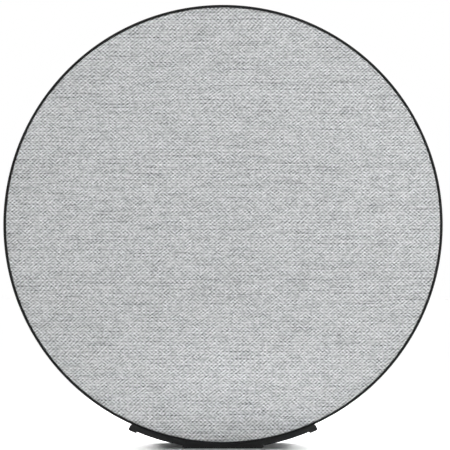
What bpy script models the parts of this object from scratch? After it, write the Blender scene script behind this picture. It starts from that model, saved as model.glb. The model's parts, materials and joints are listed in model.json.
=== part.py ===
"""Smart home hub: a round, cloth-fronted disc that stands in a curved cradle.

Metres, +Z up. The front faces -Y, and the origin is on the table under the middle of the hub.
Sizes below are in millimetres. Every shape is drawn about the hub's own axis, which runs along Y
through its centre, or about the loudspeaker's axis, and is scaled to metres as it becomes an object.
"""
import math

import bmesh
import bpy
from mathutils import Matrix, Vector

MM = 0.001

# The hub's shell
HUB_RADIUS = 75.0
CENTRE_HEIGHT = 76.4
FRONT = -20.0
BACK = 20.0
WALL = 2.2
RIM_LIP = 0.7
RIM_DEPTH = 3.0
EDGE_CHAMFER = 0.25
SHOULDER_WIDTH = 24.0
SHOULDER_DEPTH = 16.0
SHELL_SEGMENTS = 60
INNER_RADIUS = HUB_RADIUS - WALL
INNER_BACK = BACK - WALL

# How far cutters for the back wall start before it and end past it, and how deep its bosses are rooted in it
CUT_FROM = 10.0
CUT_TO = 25.0
ROOT_DEPTH = 18.5
OVERSHOOT = 1.0

# Screw bosses and their bores, by radius
BAFFLE_BOSS = 3.6
BOARD_BOSS = 2.6
STAND_BOSS = 3.2
STAND_BOSS_ENDS = (64.0, 73.8)
BORE = 1.3
CLEARANCE_BORE = 1.4

# The cloth front and its frame
CLOTH_GAP = 0.15
CLOTH_SETBACK = 0.3
CLOTH_THICKNESS = 0.6
CLOTH_RADIUS = HUB_RADIUS - RIM_LIP - CLOTH_GAP
FRAME_FRONT = FRONT + CLOTH_SETBACK + CLOTH_THICKNESS + 0.1
FRAME_BACK = FRONT + RIM_DEPTH - 0.2
FRAME_RADIUS = CLOTH_RADIUS - CLOTH_THICKNESS - 0.05
CELL_PITCH = 16.0
CELL_WEB = 1.9
CELL_FIELD_RADIUS = 62.0
CLIP_RADIUS = 68.6
CLIP_THICKNESS = 1.2
CLIP_BARB = 0.6
CLIP_WIDTH = 5.0
CLIP_ANGLES = range(0, 360, 60)

# The baffle
BAFFLE_RADIUS = INNER_RADIUS - 0.3
BAFFLE_FRONT = -15.6
BAFFLE_BACK = -13.6
BAFFLE_OPENING = 32.5
BAFFLE_SCREW_RADIUS = 69.5
BAFFLE_SCREW_ANGLES = range(30, 390, 60)
BAFFLE_SCREW_LENGTH = 9.0
MIC_SPACING = 48.0
MIC_DROP = -50.0
MIC_SIZE = (3.8, 3.0, 1.1)
MIC_BOARD_THICKNESS = 0.8
LED_SIZE = (5.0, 5.0, 1.0)
LIGHT_GUIDE_RADIUS = 3.0
LIGHT_GUIDE_CHAMFER = 0.4

# The loudspeaker, on its own axis above the hub's
DRIVER_RISE = 12.0
FLANGE_RADIUS = 38.0
FLANGE_INNER = 29.6
FLANGE_FRONT = -12.1
FLANGE_BACK = -10.9
DRIVER_SEGMENTS = 32
COIL_SEGMENTS = 20
BASKET_WINDOW = (18.0, 13.0)
BASKET_WINDOW_ANGLES = range(0, 360, 60)
CONE_RADIUS = 24.2
CONE_NECK = 10.5
CONE_THICKNESS = 0.6
CONE_ENDS = (-13.1, -4.9)
DUST_CAP_CENTRE = (0.0, -5.8)
DUST_CAP_SIZE = (11.8, 3.6)
DUST_CAP_THICKNESS = 0.4
SURROUND_ROLL = 2.5
SURROUND_THICKNESS = 0.45
SPIDER_RADII = (10.5, 23.6)
SPIDER_THICKNESS = 0.35
SPIDER_RISE = 0.7
SPIDER_WAVES = 6
POLE_RADIUS = 9.0
# Rings of the motor: inner radius, outer radius, front and back
GASKET_RADII = (33.0, 37.6)
VOICE_COIL = (9.4, 10.2, -4.4, 5.6)
TOP_PLATE = (10.8, 20.5, 1.5, 4.3)
MAGNET = (12.5, 22.0, 4.4, 8.6)
YOKE_FLANGE = (21.0, 8.7, 10.8)
DRIVER_SCREW_RADIUS = 35.2
DRIVER_SCREW_ANGLES = range(45, 405, 90)

# The main board and its sockets
BOARD_FRONT = -4.0
BOARD_BACK = -2.4
BOARD_RADIUS = 62.0
BOARD_TOP = -21.2
BOARD_HOLLOW = 44.0
BOARD_SCREWS = [(-50.0, -28.0), (50.0, -28.0), (0.0, -58.0)]
PART_GAP = 0.1
JACK_CENTRE = (-10.0, -41.0)
JACK_SIZE = (16.0, 13.6)
USB_CENTRE = (12.0, -41.0)
JACK_MOUTH = [(-5.9, -4.6), (5.9, -4.6), (5.9, 2.6), (3.0, 2.6), (3.0, 4.6), (-3.0, 4.6), (-3.0, 2.6),
              (-5.9, 2.6)]
JACK_DEPTH = 12.0
USB_SIZE = (8.94, 3.26)
USB_WALL = 0.3
USB_DEPTH = 6.2
USB_TONGUE = (6.7, 0.7)
SOCKET_FACE = 13.8
SOCKET_GAP = 0.3
SHIELD_CENTRE = (33.0, -34.0)
SHIELD_SIZE = (18.0, 16.0)
PROCESSOR_HEIGHT = 2.2
RADIO_HEIGHT = 2.0
PAD_SIZE = (14.0, 12.0, 0.8)
SPREADER_FINS = 5
SPREADER_PLATE = 1.5
SPREADER_HEIGHT = 7.0
FIN_THICKNESS = 1.0
ANTENNA_WIDTH = 6.0
ANTENNA_THICKNESS = 0.6

# The recess that the sockets open into
RECESS_CENTRE = (0.0, -41.0)
RECESS_SIZE = (48.0, 20.0)
RECESS_CORNER = 4.0
RECESS_FLOOR = 14.0

# The control board and the controls on the back
CONTROL_FRONT = 11.5
CONTROL_BACK = 12.7
CONTROL_SIZE = (78.0, 29.0)
CONTROL_CENTRE = (0.0, 0.5)
CONTROL_SCREWS = [(-34.0, -8.0), (34.0, -8.0)]
KEY_GAP = 0.4
PAIR_CENTRE = (0.0, 8.0)
PAIR_RADIUS = 4.5
PAIR_TOP = 20.5
RESET_CENTRE = (0.0, -9.0)
RESET_RADIUS = 1.3
RESET_TOP = 19.3
FLANGE_LEVELS = (16.2, 17.3)
ROCKER_CENTRE = (24.0, 8.0)
ROCKER_SIZE = (24.0, 8.0)
ROCKER_AXIS_DEPTH = 16.4
ROCKER_HEIGHT = 4.2
ROCKER_REACH = 8.0
TRUNNION_RADIUS = 1.0
TRUNNION_LENGTH = 12.4
SADDLE_OFFSET = 5.6
SADDLE_WIDTH = 1.8
SADDLE_LENGTH = 4.4
SADDLE_FRONT = 15.0
MUTE_CENTRE = (-24.0, 8.0)
MUTE_KNOB = (5.0, 4.4)
MUTE_FLANGE = (12.4, 6.8)
MUTE_LEVELS = (16.4, 17.5)
MUTE_TOP = 20.6
MUTE_TRAVEL = 3.0
SWITCH_SIZE = 6.0
SWITCH_TOP = 15.0
PLUNGER_RADIUS = 1.6

# The vents round the upper back
VENT_INNER = 40.0
VENT_OUTER = 50.0
VENT_WIDTH = 2.2
VENT_ANGLES = range(-30, 211, 10)

# The stand
BAND_INNER = 75.2
BAND_OUTER = 76.3
BAND_DEPTH = 42.0
BAND_HALF_ANGLE = 24.6
LIP_START_ANGLE = 22.7
LIP_OUTER = 76.84
FOOT_HALF_WIDTH = 13.6
FOOT_HEIGHT = 0.45
SOLE_SIZE = (26.8, 41.0)
SOLE_THICKNESS = 0.35
STAND_SCREW_ANGLE = 17.0
STAND_SCREW_TIP = 67.0
STAND_SCREW_HEAD = 2.4
STAND_SCREW_SHANK = 1.2
SINK_RADII = (1.6, 2.8)

# Screws: head radius, head height, shank radius
PAN_HEAD = (2.1, 1.3, 1.1)
SCREW_SEGMENTS = 8
HOLE_SEGMENTS = 8
MERGE_DISTANCE = 1e-4


# Outlines ---------------------------------------------------------------------------

def arc(centre, size, start, end, steps):
    """Points along an elliptical arc, between two angles in degrees."""
    points = []
    for step in range(steps + 1):
        angle = math.radians(start + (end - start) * step / steps)
        points.append((centre[0] + size[0] * math.cos(angle), centre[1] + size[1] * math.sin(angle)))
    return points


def circle(radius, segments=HOLE_SEGMENTS, centre=(0.0, 0.0)):
    return arc(centre, (radius, radius), 0.0, 360.0, segments)[:-1]


def rounded_box(width, height, corner, centre=(0.0, 0.0), steps=3):
    """A rectangle with round corners."""
    points = []
    for quarter, (side, level) in enumerate([(1, 1), (-1, 1), (-1, -1), (1, -1)]):
        corner_centre = (centre[0] + side * (width / 2 - corner), centre[1] + level * (height / 2 - corner))
        points += arc(corner_centre, (corner, corner), 90.0 * quarter, 90.0 * quarter + 90.0, steps)
    return points


def rectangle(width, height, centre=(0.0, 0.0)):
    x, z = centre
    return [(x - width / 2, z - height / 2), (x + width / 2, z - height / 2),
            (x + width / 2, z + height / 2), (x - width / 2, z + height / 2)]


def polar(radius, degrees, centre=(0.0, 0.0)):
    angle = math.radians(degrees)
    return centre[0] + radius * math.cos(angle), centre[1] + radius * math.sin(angle)


def strip(path, thickness):
    """The outline of a band of even thickness that follows an open path."""
    near = []
    far = []
    for index, point in enumerate(path):
        before = Vector(path[max(index - 1, 0)])
        after = Vector(path[min(index + 1, len(path) - 1)])
        along = (after - before).normalized()
        side = Vector((-along.y, along.x)) * thickness / 2
        near.append(tuple(Vector(point) + side))
        far.append(tuple(Vector(point) - side))
    return near + far[::-1]


# Solids -----------------------------------------------------------------------------

def turned(outline, segments):
    """Turn an outline of (radius, y) points about the Y axis.

    An outline that starts and ends on the axis is left open there; any other is closed.
    """
    shape = bmesh.new()
    points = [shape.verts.new((radius, y, 0.0)) for radius, y in outline]
    pairs = list(zip(points, points[1:]))
    if max(outline[0][0], outline[-1][0]) > MERGE_DISTANCE:
        pairs.append((points[-1], points[0]))
    edges = [shape.edges.new(pair) for pair in pairs]
    bmesh.ops.spin(shape, geom=points + edges, cent=(0, 0, 0), axis=(0, 1, 0),
                   angle=math.tau, steps=segments, use_merge=True)
    bmesh.ops.remove_doubles(shape, verts=shape.verts, dist=MERGE_DISTANCE)
    flat_poles = [vert for vert in shape.verts
                  if math.hypot(vert.co.x, vert.co.z) < MERGE_DISTANCE
                  and all(abs(edge.other_vert(vert).co.y - vert.co.y) < MERGE_DISTANCE
                          for edge in vert.link_edges)]
    bmesh.ops.dissolve_verts(shape, verts=flat_poles)
    return shape


def extruded(outline, low, high):
    """Extrude an outline of (x, z) points along Y."""
    shape = bmesh.new()
    face = shape.faces.new([shape.verts.new((x, low, z)) for x, z in outline])
    result = bmesh.ops.extrude_face_region(shape, geom=[face])
    moved_verts = [item for item in result["geom"] if isinstance(item, bmesh.types.BMVert)]
    bmesh.ops.translate(shape, verts=moved_verts, vec=(0.0, high - low, 0.0))
    return shape


def upright(outline, low, high):
    """Extrude an outline of (x, y) points along Z."""
    swap_y_and_z = Matrix(((1, 0, 0, 0), (0, 0, 1, 0), (0, 1, 0, 0), (0, 0, 0, 1)))
    return turn_to(extruded(outline, low, high), swap_y_and_z)


def sideways(outline, low, high):
    """Extrude an outline of (y, z) points along X."""
    swap_x_and_y = Matrix(((0, 1, 0, 0), (1, 0, 0, 0), (0, 0, 1, 0), (0, 0, 0, 1)))
    return turn_to(extruded(outline, low, high), swap_x_and_y)


def rod(radius, low, high, centre=(0.0, 0.0), segments=HOLE_SEGMENTS):
    return extruded(circle(radius, segments, centre), low, high)


def turn_to(shape, matrix):
    bmesh.ops.transform(shape, matrix=matrix, verts=shape.verts)
    return shape


def radial(shape, degrees):
    """Stand a shape drawn along Y on a radius of the hub, so that its +Y points outwards."""
    along_x = Matrix.Rotation(math.radians(-90.0), 4, "Z")
    return turn_to(shape, Matrix.Rotation(math.radians(-degrees), 4, "Y") @ along_x)


def gathered(shapes):
    """Put separate shapes into one mesh."""
    whole = bmesh.new()
    for shape in shapes:
        bmesh.ops.recalc_face_normals(shape, faces=shape.faces)
        part = bpy.data.meshes.new("part")
        shape.to_mesh(part)
        shape.free()
        whole.from_mesh(part)
        bpy.data.meshes.remove(part)
    return whole


# Objects ----------------------------------------------------------------------------

MATERIALS = {
    "cloth": ((0.50, 0.51, 0.52), 0.90, 0.0),
    "shell_plastic": ((0.022, 0.023, 0.024), 0.45, 0.0),
    "inner_plastic": ((0.04, 0.04, 0.042), 0.60, 0.0),
    "control_plastic": ((0.03, 0.031, 0.032), 0.35, 0.0),
    "stand_metal": ((0.018, 0.019, 0.020), 0.50, 0.4),
    "sole_rubber": ((0.015, 0.015, 0.015), 0.90, 0.0),
    "foam": ((0.03, 0.03, 0.03), 0.95, 0.0),
    "basket_steel": ((0.12, 0.12, 0.13), 0.45, 0.8),
    "plated_steel": ((0.62, 0.62, 0.63), 0.30, 1.0),
    "ferrite": ((0.05, 0.05, 0.055), 0.60, 0.2),
    "cone_paper": ((0.035, 0.035, 0.035), 0.85, 0.0),
    "surround_rubber": ((0.02, 0.02, 0.02), 0.60, 0.0),
    "spider_cloth": ((0.55, 0.36, 0.14), 0.90, 0.0),
    "coil_copper": ((0.72, 0.32, 0.15), 0.35, 1.0),
    "board_green": ((0.02, 0.12, 0.06), 0.40, 0.0),
    "chip_black": ((0.02, 0.02, 0.02), 0.50, 0.0),
    "shield_tin": ((0.60, 0.60, 0.58), 0.35, 1.0),
    "heat_aluminium": ((0.75, 0.76, 0.77), 0.35, 1.0),
    "thermal_silicone": ((0.35, 0.42, 0.55), 0.80, 0.0),
    "light_acrylic": ((0.85, 0.86, 0.86), 0.20, 0.0),
    "screw_steel": ((0.10, 0.10, 0.11), 0.35, 1.0),
    "lead_jacket": ((0.30, 0.02, 0.02), 0.50, 0.0),
    "ribbon_film": ((0.70, 0.70, 0.68), 0.45, 0.0),
}


def material(name):
    """The named material, made the first time that it is asked for."""
    found = bpy.data.materials.get(name)
    if found:
        return found
    colour, roughness, metallic = MATERIALS[name]
    made = bpy.data.materials.new(name)
    made.use_nodes = True
    shader = made.node_tree.nodes["Principled BSDF"]
    shader.inputs["Base Color"].default_value = (*colour, 1.0)
    shader.inputs["Roughness"].default_value = roughness
    shader.inputs["Metallic"].default_value = metallic
    made.diffuse_color = (*colour, 1.0)
    return made


def axis_empty(name, rise, parent=None):
    """An empty that the pieces round one axis hang from."""
    empty = bpy.data.objects.new(name, None)
    empty.location = (0.0, 0.0, rise * MM)
    empty.parent = parent
    bpy.context.collection.objects.link(empty)
    return empty


def add_piece(name, shape, material_name, parent, at=(0.0, 0.0, 0.0)):
    """Make an object of a shape drawn in millimetres about the point of its parent that it sits at."""
    bmesh.ops.recalc_face_normals(shape, faces=shape.faces)
    bmesh.ops.scale(shape, vec=(MM, MM, MM), verts=shape.verts)
    mesh = bpy.data.meshes.new(name)
    shape.to_mesh(mesh)
    shape.free()
    mesh.shade_smooth()
    mesh.set_sharp_from_angle(angle=math.radians(35.0))
    mesh.materials.append(material(material_name))
    piece = bpy.data.objects.new(name, mesh)
    piece.location = Vector(at) * MM
    piece.parent = parent
    bpy.context.collection.objects.link(piece)
    return piece


def combine(piece, operation, label, shapes):
    """Add shapes to a piece with UNION, or cut them from it with DIFFERENCE."""
    guide = add_piece(f"{piece.name}_{label}", gathered(shapes), "shell_plastic", piece)
    guide.hide_render = True
    guide.display_type = "WIRE"
    modifier = piece.modifiers.new(label, "BOOLEAN")
    modifier.operation = operation
    modifier.object = guide
    return piece


def pan_screw(name, parent, at, length, towards=-1.0):
    """A screw whose head's underside is at the given point, with its shank along Y."""
    head_radius, head_height, shank_radius = PAN_HEAD
    outline = [(0.0, -towards * head_height), (head_radius * 0.7, -towards * head_height),
               (head_radius, -towards * head_height * 0.6), (head_radius, 0.0),
               (shank_radius, 0.0), (shank_radius, towards * length), (0.0, towards * length)]
    return add_piece(name, turned(outline, SCREW_SEGMENTS), "screw_steel", parent, at)


# The shell --------------------------------------------------------------------------

def shell_outline():
    """From the middle of the back, round the outside to the rim, and back along the inside."""
    shoulder = (HUB_RADIUS - SHOULDER_WIDTH, BACK - SHOULDER_DEPTH)
    outside = arc(shoulder, (SHOULDER_WIDTH, SHOULDER_DEPTH), 90.0, 0.0, 6)
    inside = arc(shoulder, (SHOULDER_WIDTH - WALL, SHOULDER_DEPTH - WALL), 0.0, 90.0, 5)
    rim = [(HUB_RADIUS, FRONT + EDGE_CHAMFER), (HUB_RADIUS - EDGE_CHAMFER, FRONT),
           (HUB_RADIUS - RIM_LIP, FRONT), (HUB_RADIUS - RIM_LIP, FRONT + RIM_DEPTH),
           (INNER_RADIUS, FRONT + RIM_DEPTH)]
    return [(0.0, BACK)] + outside + rim + inside + [(0.0, INNER_BACK)]


def shell_bosses():
    """The screw bosses, the socket recess's box and the rocker's two saddles."""
    bosses = [rod(BAFFLE_BOSS, BAFFLE_BACK + 0.3, -1.0, polar(BAFFLE_SCREW_RADIUS, angle))
              for angle in BAFFLE_SCREW_ANGLES]
    bosses += [rod(BOARD_BOSS, BOARD_BACK + PART_GAP, ROOT_DEPTH, centre) for centre in BOARD_SCREWS]
    bosses += [rod(BOARD_BOSS, CONTROL_BACK + PART_GAP, ROOT_DEPTH, centre) for centre in CONTROL_SCREWS]
    bosses += [radial(rod(STAND_BOSS, *STAND_BOSS_ENDS), -90.0 + side * STAND_SCREW_ANGLE) for side in (-1, 1)]
    recess_width, recess_height = RECESS_SIZE
    bosses.append(extruded(rounded_box(recess_width + 2 * WALL, recess_height + 2 * WALL,
                                       RECESS_CORNER + WALL, RECESS_CENTRE), RECESS_FLOOR - 2.0, ROOT_DEPTH))
    for side in (-1, 1):
        saddle_centre = (ROCKER_CENTRE[0], ROCKER_CENTRE[1] + side * SADDLE_OFFSET)
        bosses.append(extruded(rectangle(SADDLE_LENGTH, SADDLE_WIDTH, saddle_centre), SADDLE_FRONT, ROOT_DEPTH))
    return bosses


def shell_openings():
    """The screw holes, vents, socket windows, recess and control holes."""
    holes = [rod(BORE, FRONT, -3.0, polar(BAFFLE_SCREW_RADIUS, angle)) for angle in BAFFLE_SCREW_ANGLES]
    holes += [rod(BORE, BOARD_BACK - OVERSHOOT, 8.0, centre) for centre in BOARD_SCREWS]
    holes += [rod(BORE, CUT_FROM, 18.0, centre) for centre in CONTROL_SCREWS]
    stand_bore = (STAND_BOSS_ENDS[0] - 4.0, HUB_RADIUS + 5.0)
    holes += [radial(rod(CLEARANCE_BORE, *stand_bore), -90.0 + side * STAND_SCREW_ANGLE) for side in (-1, 1)]
    middle = (VENT_INNER + VENT_OUTER) / 2
    for angle in VENT_ANGLES:
        slot = rounded_box(VENT_OUTER - VENT_INNER, VENT_WIDTH, VENT_WIDTH / 2 - 0.05, (middle, 0.0), steps=1)
        holes.append(turn_to(extruded(slot, CUT_FROM, CUT_TO), Matrix.Rotation(math.radians(-angle), 4, "Y")))
    holes.append(extruded(rounded_box(*RECESS_SIZE, RECESS_CORNER, RECESS_CENTRE), RECESS_FLOOR, CUT_TO))
    jack_width, jack_height = JACK_SIZE
    window = rectangle(jack_width + 2 * SOCKET_GAP, jack_height + 2 * SOCKET_GAP, JACK_CENTRE)
    holes.append(extruded(window, CUT_FROM, RECESS_FLOOR + OVERSHOOT))
    usb_width, usb_height = USB_SIZE
    window = rounded_box(usb_width + 2 * SOCKET_GAP, usb_height + 2 * SOCKET_GAP, usb_height / 2 + 0.2,
                         USB_CENTRE)
    holes.append(extruded(window, CUT_FROM, RECESS_FLOOR + OVERSHOOT))
    holes.append(rod(PAIR_RADIUS + KEY_GAP, CUT_FROM, CUT_TO, PAIR_CENTRE, 20))
    holes.append(rod(RESET_RADIUS + KEY_GAP, CUT_FROM, CUT_TO, RESET_CENTRE, 12))
    rocker_width, rocker_height = ROCKER_SIZE
    holes.append(extruded(rounded_box(rocker_width + 2 * KEY_GAP, rocker_height + 2 * KEY_GAP,
                                      rocker_height / 2 + 0.3, ROCKER_CENTRE), CUT_FROM, CUT_TO))
    knob_width, knob_height = MUTE_KNOB
    slot_centre = (MUTE_CENTRE[0] + MUTE_TRAVEL / 2, MUTE_CENTRE[1])
    holes.append(extruded(rounded_box(knob_width + MUTE_TRAVEL + 0.6, knob_height + 0.6, 1.4, slot_centre),
                          CUT_FROM, CUT_TO))
    return holes


def saddle_grooves():
    """The round-ended grooves that the rocker's trunnions turn in, open towards the front."""
    pivot = (ROCKER_CENTRE[0], ROCKER_AXIS_DEPTH)
    radius = TRUNNION_RADIUS + 0.1
    groove = arc(pivot, (radius, radius), 0.0, 180.0, 6)
    groove += [(pivot[0] - radius, 14.0), (pivot[0] + radius, 14.0)]
    levels = [ROCKER_CENTRE[1] + side * SADDLE_OFFSET for side in (-1, 1)]
    return [upright(groove, level - SADDLE_WIDTH, level + SADDLE_WIDTH) for level in levels]


def make_shell(hub):
    shell = add_piece("rear_housing", turned(shell_outline(), SHELL_SEGMENTS), "shell_plastic", hub)
    combine(shell, "UNION", "bosses", shell_bosses())
    combine(shell, "DIFFERENCE", "openings", shell_openings())
    combine(shell, "DIFFERENCE", "saddle_grooves", saddle_grooves())


# The cloth front --------------------------------------------------------------------

def make_cloth(hub):
    """A cup of cloth: the flat front, and the skirt turned over the frame's edge."""
    front = FRONT + CLOTH_SETBACK
    inner = CLOTH_RADIUS - CLOTH_THICKNESS
    outline = [(0.0, front), (CLOTH_RADIUS - 0.3, front), (CLOTH_RADIUS, front + 0.3),
               (CLOTH_RADIUS, FRAME_BACK), (inner, FRAME_BACK),
               (inner, front + CLOTH_THICKNESS), (0.0, front + CLOTH_THICKNESS)]
    add_piece("front_fabric", turned(outline, SHELL_SEGMENTS), "cloth", hub)


def frame_cells():
    """The hexagonal holes of the frame, on a honeycomb grid."""
    reach = int(CELL_FIELD_RADIUS / CELL_PITCH) + 1
    radius = (CELL_PITCH - CELL_WEB) / math.sqrt(3.0)
    cells = []
    for row in range(-reach - 1, reach + 2):
        for column in range(-reach - 1, reach + 2):
            x = CELL_PITCH * (column + 0.5 * (row % 2))
            z = CELL_PITCH * row * math.sqrt(3.0) / 2
            if math.hypot(x, z) < CELL_FIELD_RADIUS:
                cell = arc((x, z), (radius, radius), 30.0, 390.0, 6)[:-1]
                cells.append(extruded(cell, FRAME_FRONT - 1.0, FRAME_BACK + 1.0))
    return cells


def frame_clips():
    """Snap clips that reach through the baffle and hook behind it."""
    tip = BAFFLE_BACK + 1.2
    outer = CLIP_RADIUS + CLIP_THICKNESS
    side_view = [(CLIP_RADIUS, FRAME_BACK - 0.5), (outer, FRAME_BACK - 0.5), (outer, BAFFLE_BACK + 0.2),
                 (outer + CLIP_BARB, BAFFLE_BACK + 0.2), (outer, tip), (CLIP_RADIUS, tip)]
    return [turn_to(upright(side_view, -CLIP_WIDTH / 2, CLIP_WIDTH / 2),
                    Matrix.Rotation(math.radians(-angle), 4, "Y")) for angle in CLIP_ANGLES]


def make_fabric_frame(hub):
    plate = extruded(circle(FRAME_RADIUS, SHELL_SEGMENTS), FRAME_FRONT, FRAME_BACK)
    frame = add_piece("fabric_frame", plate, "inner_plastic", hub)
    combine(frame, "DIFFERENCE", "cells", frame_cells())
    combine(frame, "UNION", "clips", frame_clips())


# The baffle -------------------------------------------------------------------------

def make_baffle(hub):
    plate = extruded(circle(BAFFLE_RADIUS, SHELL_SEGMENTS), BAFFLE_FRONT, BAFFLE_BACK)
    baffle = add_piece("baffle", plate, "inner_plastic", hub)
    low = BAFFLE_FRONT - OVERSHOOT
    high = BAFFLE_BACK + OVERSHOOT
    driver_centre = (0.0, DRIVER_RISE)
    holes = [rod(BAFFLE_OPENING, low, high, driver_centre, DRIVER_SEGMENTS)]
    holes += [rod(CLEARANCE_BORE, low, high, polar(BAFFLE_SCREW_RADIUS, angle))
              for angle in BAFFLE_SCREW_ANGLES]
    holes += [rod(BORE, low, high, polar(DRIVER_SCREW_RADIUS, angle, driver_centre))
              for angle in DRIVER_SCREW_ANGLES]
    holes += [rod(0.8, low, high, (side * MIC_SPACING / 2, MIC_DROP)) for side in (-1, 1)]
    holes.append(rod(LIGHT_GUIDE_RADIUS + 0.2, low, high, (0.0, MIC_DROP), 16))
    slot_centre = (CLIP_RADIUS + CLIP_THICKNESS / 2, 0.0)
    for angle in CLIP_ANGLES:
        slot = extruded(rectangle(CLIP_THICKNESS + 0.6, CLIP_WIDTH + 0.8, slot_centre), low, high)
        holes.append(turn_to(slot, Matrix.Rotation(math.radians(-angle), 4, "Y")))
    combine(baffle, "DIFFERENCE", "holes", holes)
    for number, angle in enumerate(BAFFLE_SCREW_ANGLES, 1):
        x, z = polar(BAFFLE_SCREW_RADIUS, angle)
        pan_screw(f"baffle_screw_{number}", hub, (x, BAFFLE_FRONT - 0.05, z), BAFFLE_SCREW_LENGTH,
                  towards=1.0)


def make_front_electronics(hub):
    """The microphone and light board behind the baffle, with its light guide through it."""
    board_front = BAFFLE_BACK + 0.3
    board_back = board_front + MIC_BOARD_THICKNESS
    board = extruded(rounded_box(MIC_SPACING + 12.0, 8.0, 2.0, (0.0, MIC_DROP)), board_front, board_back)
    board = add_piece("mic_led_board", board, "board_green", hub)
    ports = [rod(0.6, board_front - OVERSHOOT, board_back + OVERSHOOT, (side * MIC_SPACING / 2, MIC_DROP))
             for side in (-1, 1)]
    ports.append(rod(2.0, board_front - OVERSHOOT, board_back + OVERSHOOT, (0.0, MIC_DROP)))
    combine(board, "DIFFERENCE", "ports", ports)
    mic_width, mic_height, mic_depth = MIC_SIZE
    for name, side in (("microphone_left", -1), ("microphone_right", 1)):
        can = extruded(rectangle(mic_width, mic_height), 0.0, mic_depth)
        add_piece(name, can, "shield_tin", hub, (side * MIC_SPACING / 2, board_back + PART_GAP, MIC_DROP))
    led_width, led_height, led_depth = LED_SIZE
    light = extruded(rectangle(led_width, led_height), 0.0, led_depth)
    add_piece("status_led", light, "chip_black", hub, (0.0, board_back + PART_GAP, MIC_DROP))
    guide_front = FRAME_BACK + 0.2
    outline = [(0.0, guide_front), (LIGHT_GUIDE_RADIUS - LIGHT_GUIDE_CHAMFER, guide_front),
               (LIGHT_GUIDE_RADIUS, guide_front + LIGHT_GUIDE_CHAMFER),
               (LIGHT_GUIDE_RADIUS, board_front - PART_GAP), (0.0, board_front - PART_GAP)]
    add_piece("light_guide", turned(outline, 16), "light_acrylic", hub, (0.0, 0.0, MIC_DROP))


# The loudspeaker --------------------------------------------------------------------

def basket_outline():
    """Flange, tapered wall, spider ledge and bottom ring."""
    return [(FLANGE_INNER, FLANGE_FRONT), (FLANGE_RADIUS, FLANGE_FRONT), (FLANGE_RADIUS, FLANGE_BACK),
            (32.2, FLANGE_BACK), (25.4, -2.6), (25.4, 1.4), (11.4, 1.4), (11.4, 0.2), (21.0, 0.2),
            (21.0, -2.2), (23.9, -2.2), (FLANGE_INNER, -9.8)]


def ring(inner, outer, front, back):
    """The outline of a plain ring."""
    return [(inner, front), (outer, front), (outer, back), (inner, back)]


def flange_holes(low, high):
    return [rod(BORE, low, high, polar(DRIVER_SCREW_RADIUS, angle)) for angle in DRIVER_SCREW_ANGLES]


def make_basket(driver):
    basket = add_piece("driver_basket", turned(basket_outline(), DRIVER_SEGMENTS), "basket_steel", driver)
    windows = []
    for angle in BASKET_WINDOW_ANGLES:
        window = extruded(rectangle(*BASKET_WINDOW, (32.0, 0.0)), -8.6, -3.6)
        windows.append(turn_to(window, Matrix.Rotation(math.radians(angle), 4, "Y")))
    combine(basket, "DIFFERENCE", "windows", windows)
    combine(basket, "DIFFERENCE", "screw_holes", flange_holes(FLANGE_FRONT - OVERSHOOT, FLANGE_BACK + 0.5))


def make_gasket(driver):
    front = BAFFLE_BACK + 0.1
    back = FLANGE_FRONT - 0.1
    foam = turned(ring(*GASKET_RADII, front, back), DRIVER_SEGMENTS)
    gasket = add_piece("driver_gasket", foam, "foam", driver)
    combine(gasket, "DIFFERENCE", "screw_holes", flange_holes(front - OVERSHOOT, back + OVERSHOOT))


def surround_outline():
    """A flat lip on the flange, and a half roll in to the cone's edge."""
    lip_front = FLANGE_FRONT - 0.5
    lip_back = lip_front + SURROUND_THICKNESS
    lip_outer = 31.8
    roll_centre = (27.1, lip_front)
    inner_size = SURROUND_ROLL - SURROUND_THICKNESS
    outer_roll = arc(roll_centre, (SURROUND_ROLL, SURROUND_ROLL), 0.0, -180.0, 4)
    inner_roll = arc(roll_centre, (inner_size, inner_size), -180.0, 0.0, 4)
    back_corner = (roll_centre[0] + inner_size + 0.15, lip_back)
    return [(lip_outer, lip_back), (lip_outer, lip_front)] + outer_roll + inner_roll + [back_corner]


def spider_outline():
    """Round corrugations between the coil and the basket's ledge."""
    inner, outer = SPIDER_RADII
    middle = -2.6
    path = [(inner + (outer - inner) * step / SPIDER_WAVES, middle - (SPIDER_RISE if step % 2 else 0.0))
            for step in range(SPIDER_WAVES + 1)]
    return strip(path, SPIDER_THICKNESS)


def make_cone_assembly(driver):
    """The pieces that travel together: cone, dust cap and voice coil."""
    edge, neck = CONE_ENDS
    cone = [(CONE_NECK, neck), (CONE_RADIUS, edge), (CONE_RADIUS, edge + CONE_THICKNESS),
            (CONE_NECK, neck + CONE_THICKNESS)]
    add_piece("driver_cone", turned(cone, DRIVER_SEGMENTS), "cone_paper", driver)
    width, height = DUST_CAP_SIZE
    inside = (width - DUST_CAP_THICKNESS, height - DUST_CAP_THICKNESS)
    cap = arc(DUST_CAP_CENTRE, DUST_CAP_SIZE, -90.0, 0.0, 4) + arc(DUST_CAP_CENTRE, inside, 0.0, -90.0, 4)
    add_piece("dust_cap", turned(cap, COIL_SEGMENTS), "cone_paper", driver)
    add_piece("voice_coil", turned(ring(*VOICE_COIL), COIL_SEGMENTS), "coil_copper", driver)


def make_motor(driver):
    """The magnet between its two steel pole pieces."""
    add_piece("top_plate", turned(ring(*TOP_PLATE), DRIVER_SEGMENTS), "plated_steel", driver)
    add_piece("driver_magnet", turned(ring(*MAGNET), DRIVER_SEGMENTS), "ferrite", driver)
    radius, front, back = YOKE_FLANGE
    pole_front = TOP_PLATE[2]
    yoke = [(0.0, pole_front), (POLE_RADIUS, pole_front), (POLE_RADIUS, front), (radius, front), (radius, back),
            (0.0, back)]
    add_piece("driver_yoke", turned(yoke, COIL_SEGMENTS), "plated_steel", driver)


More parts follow.
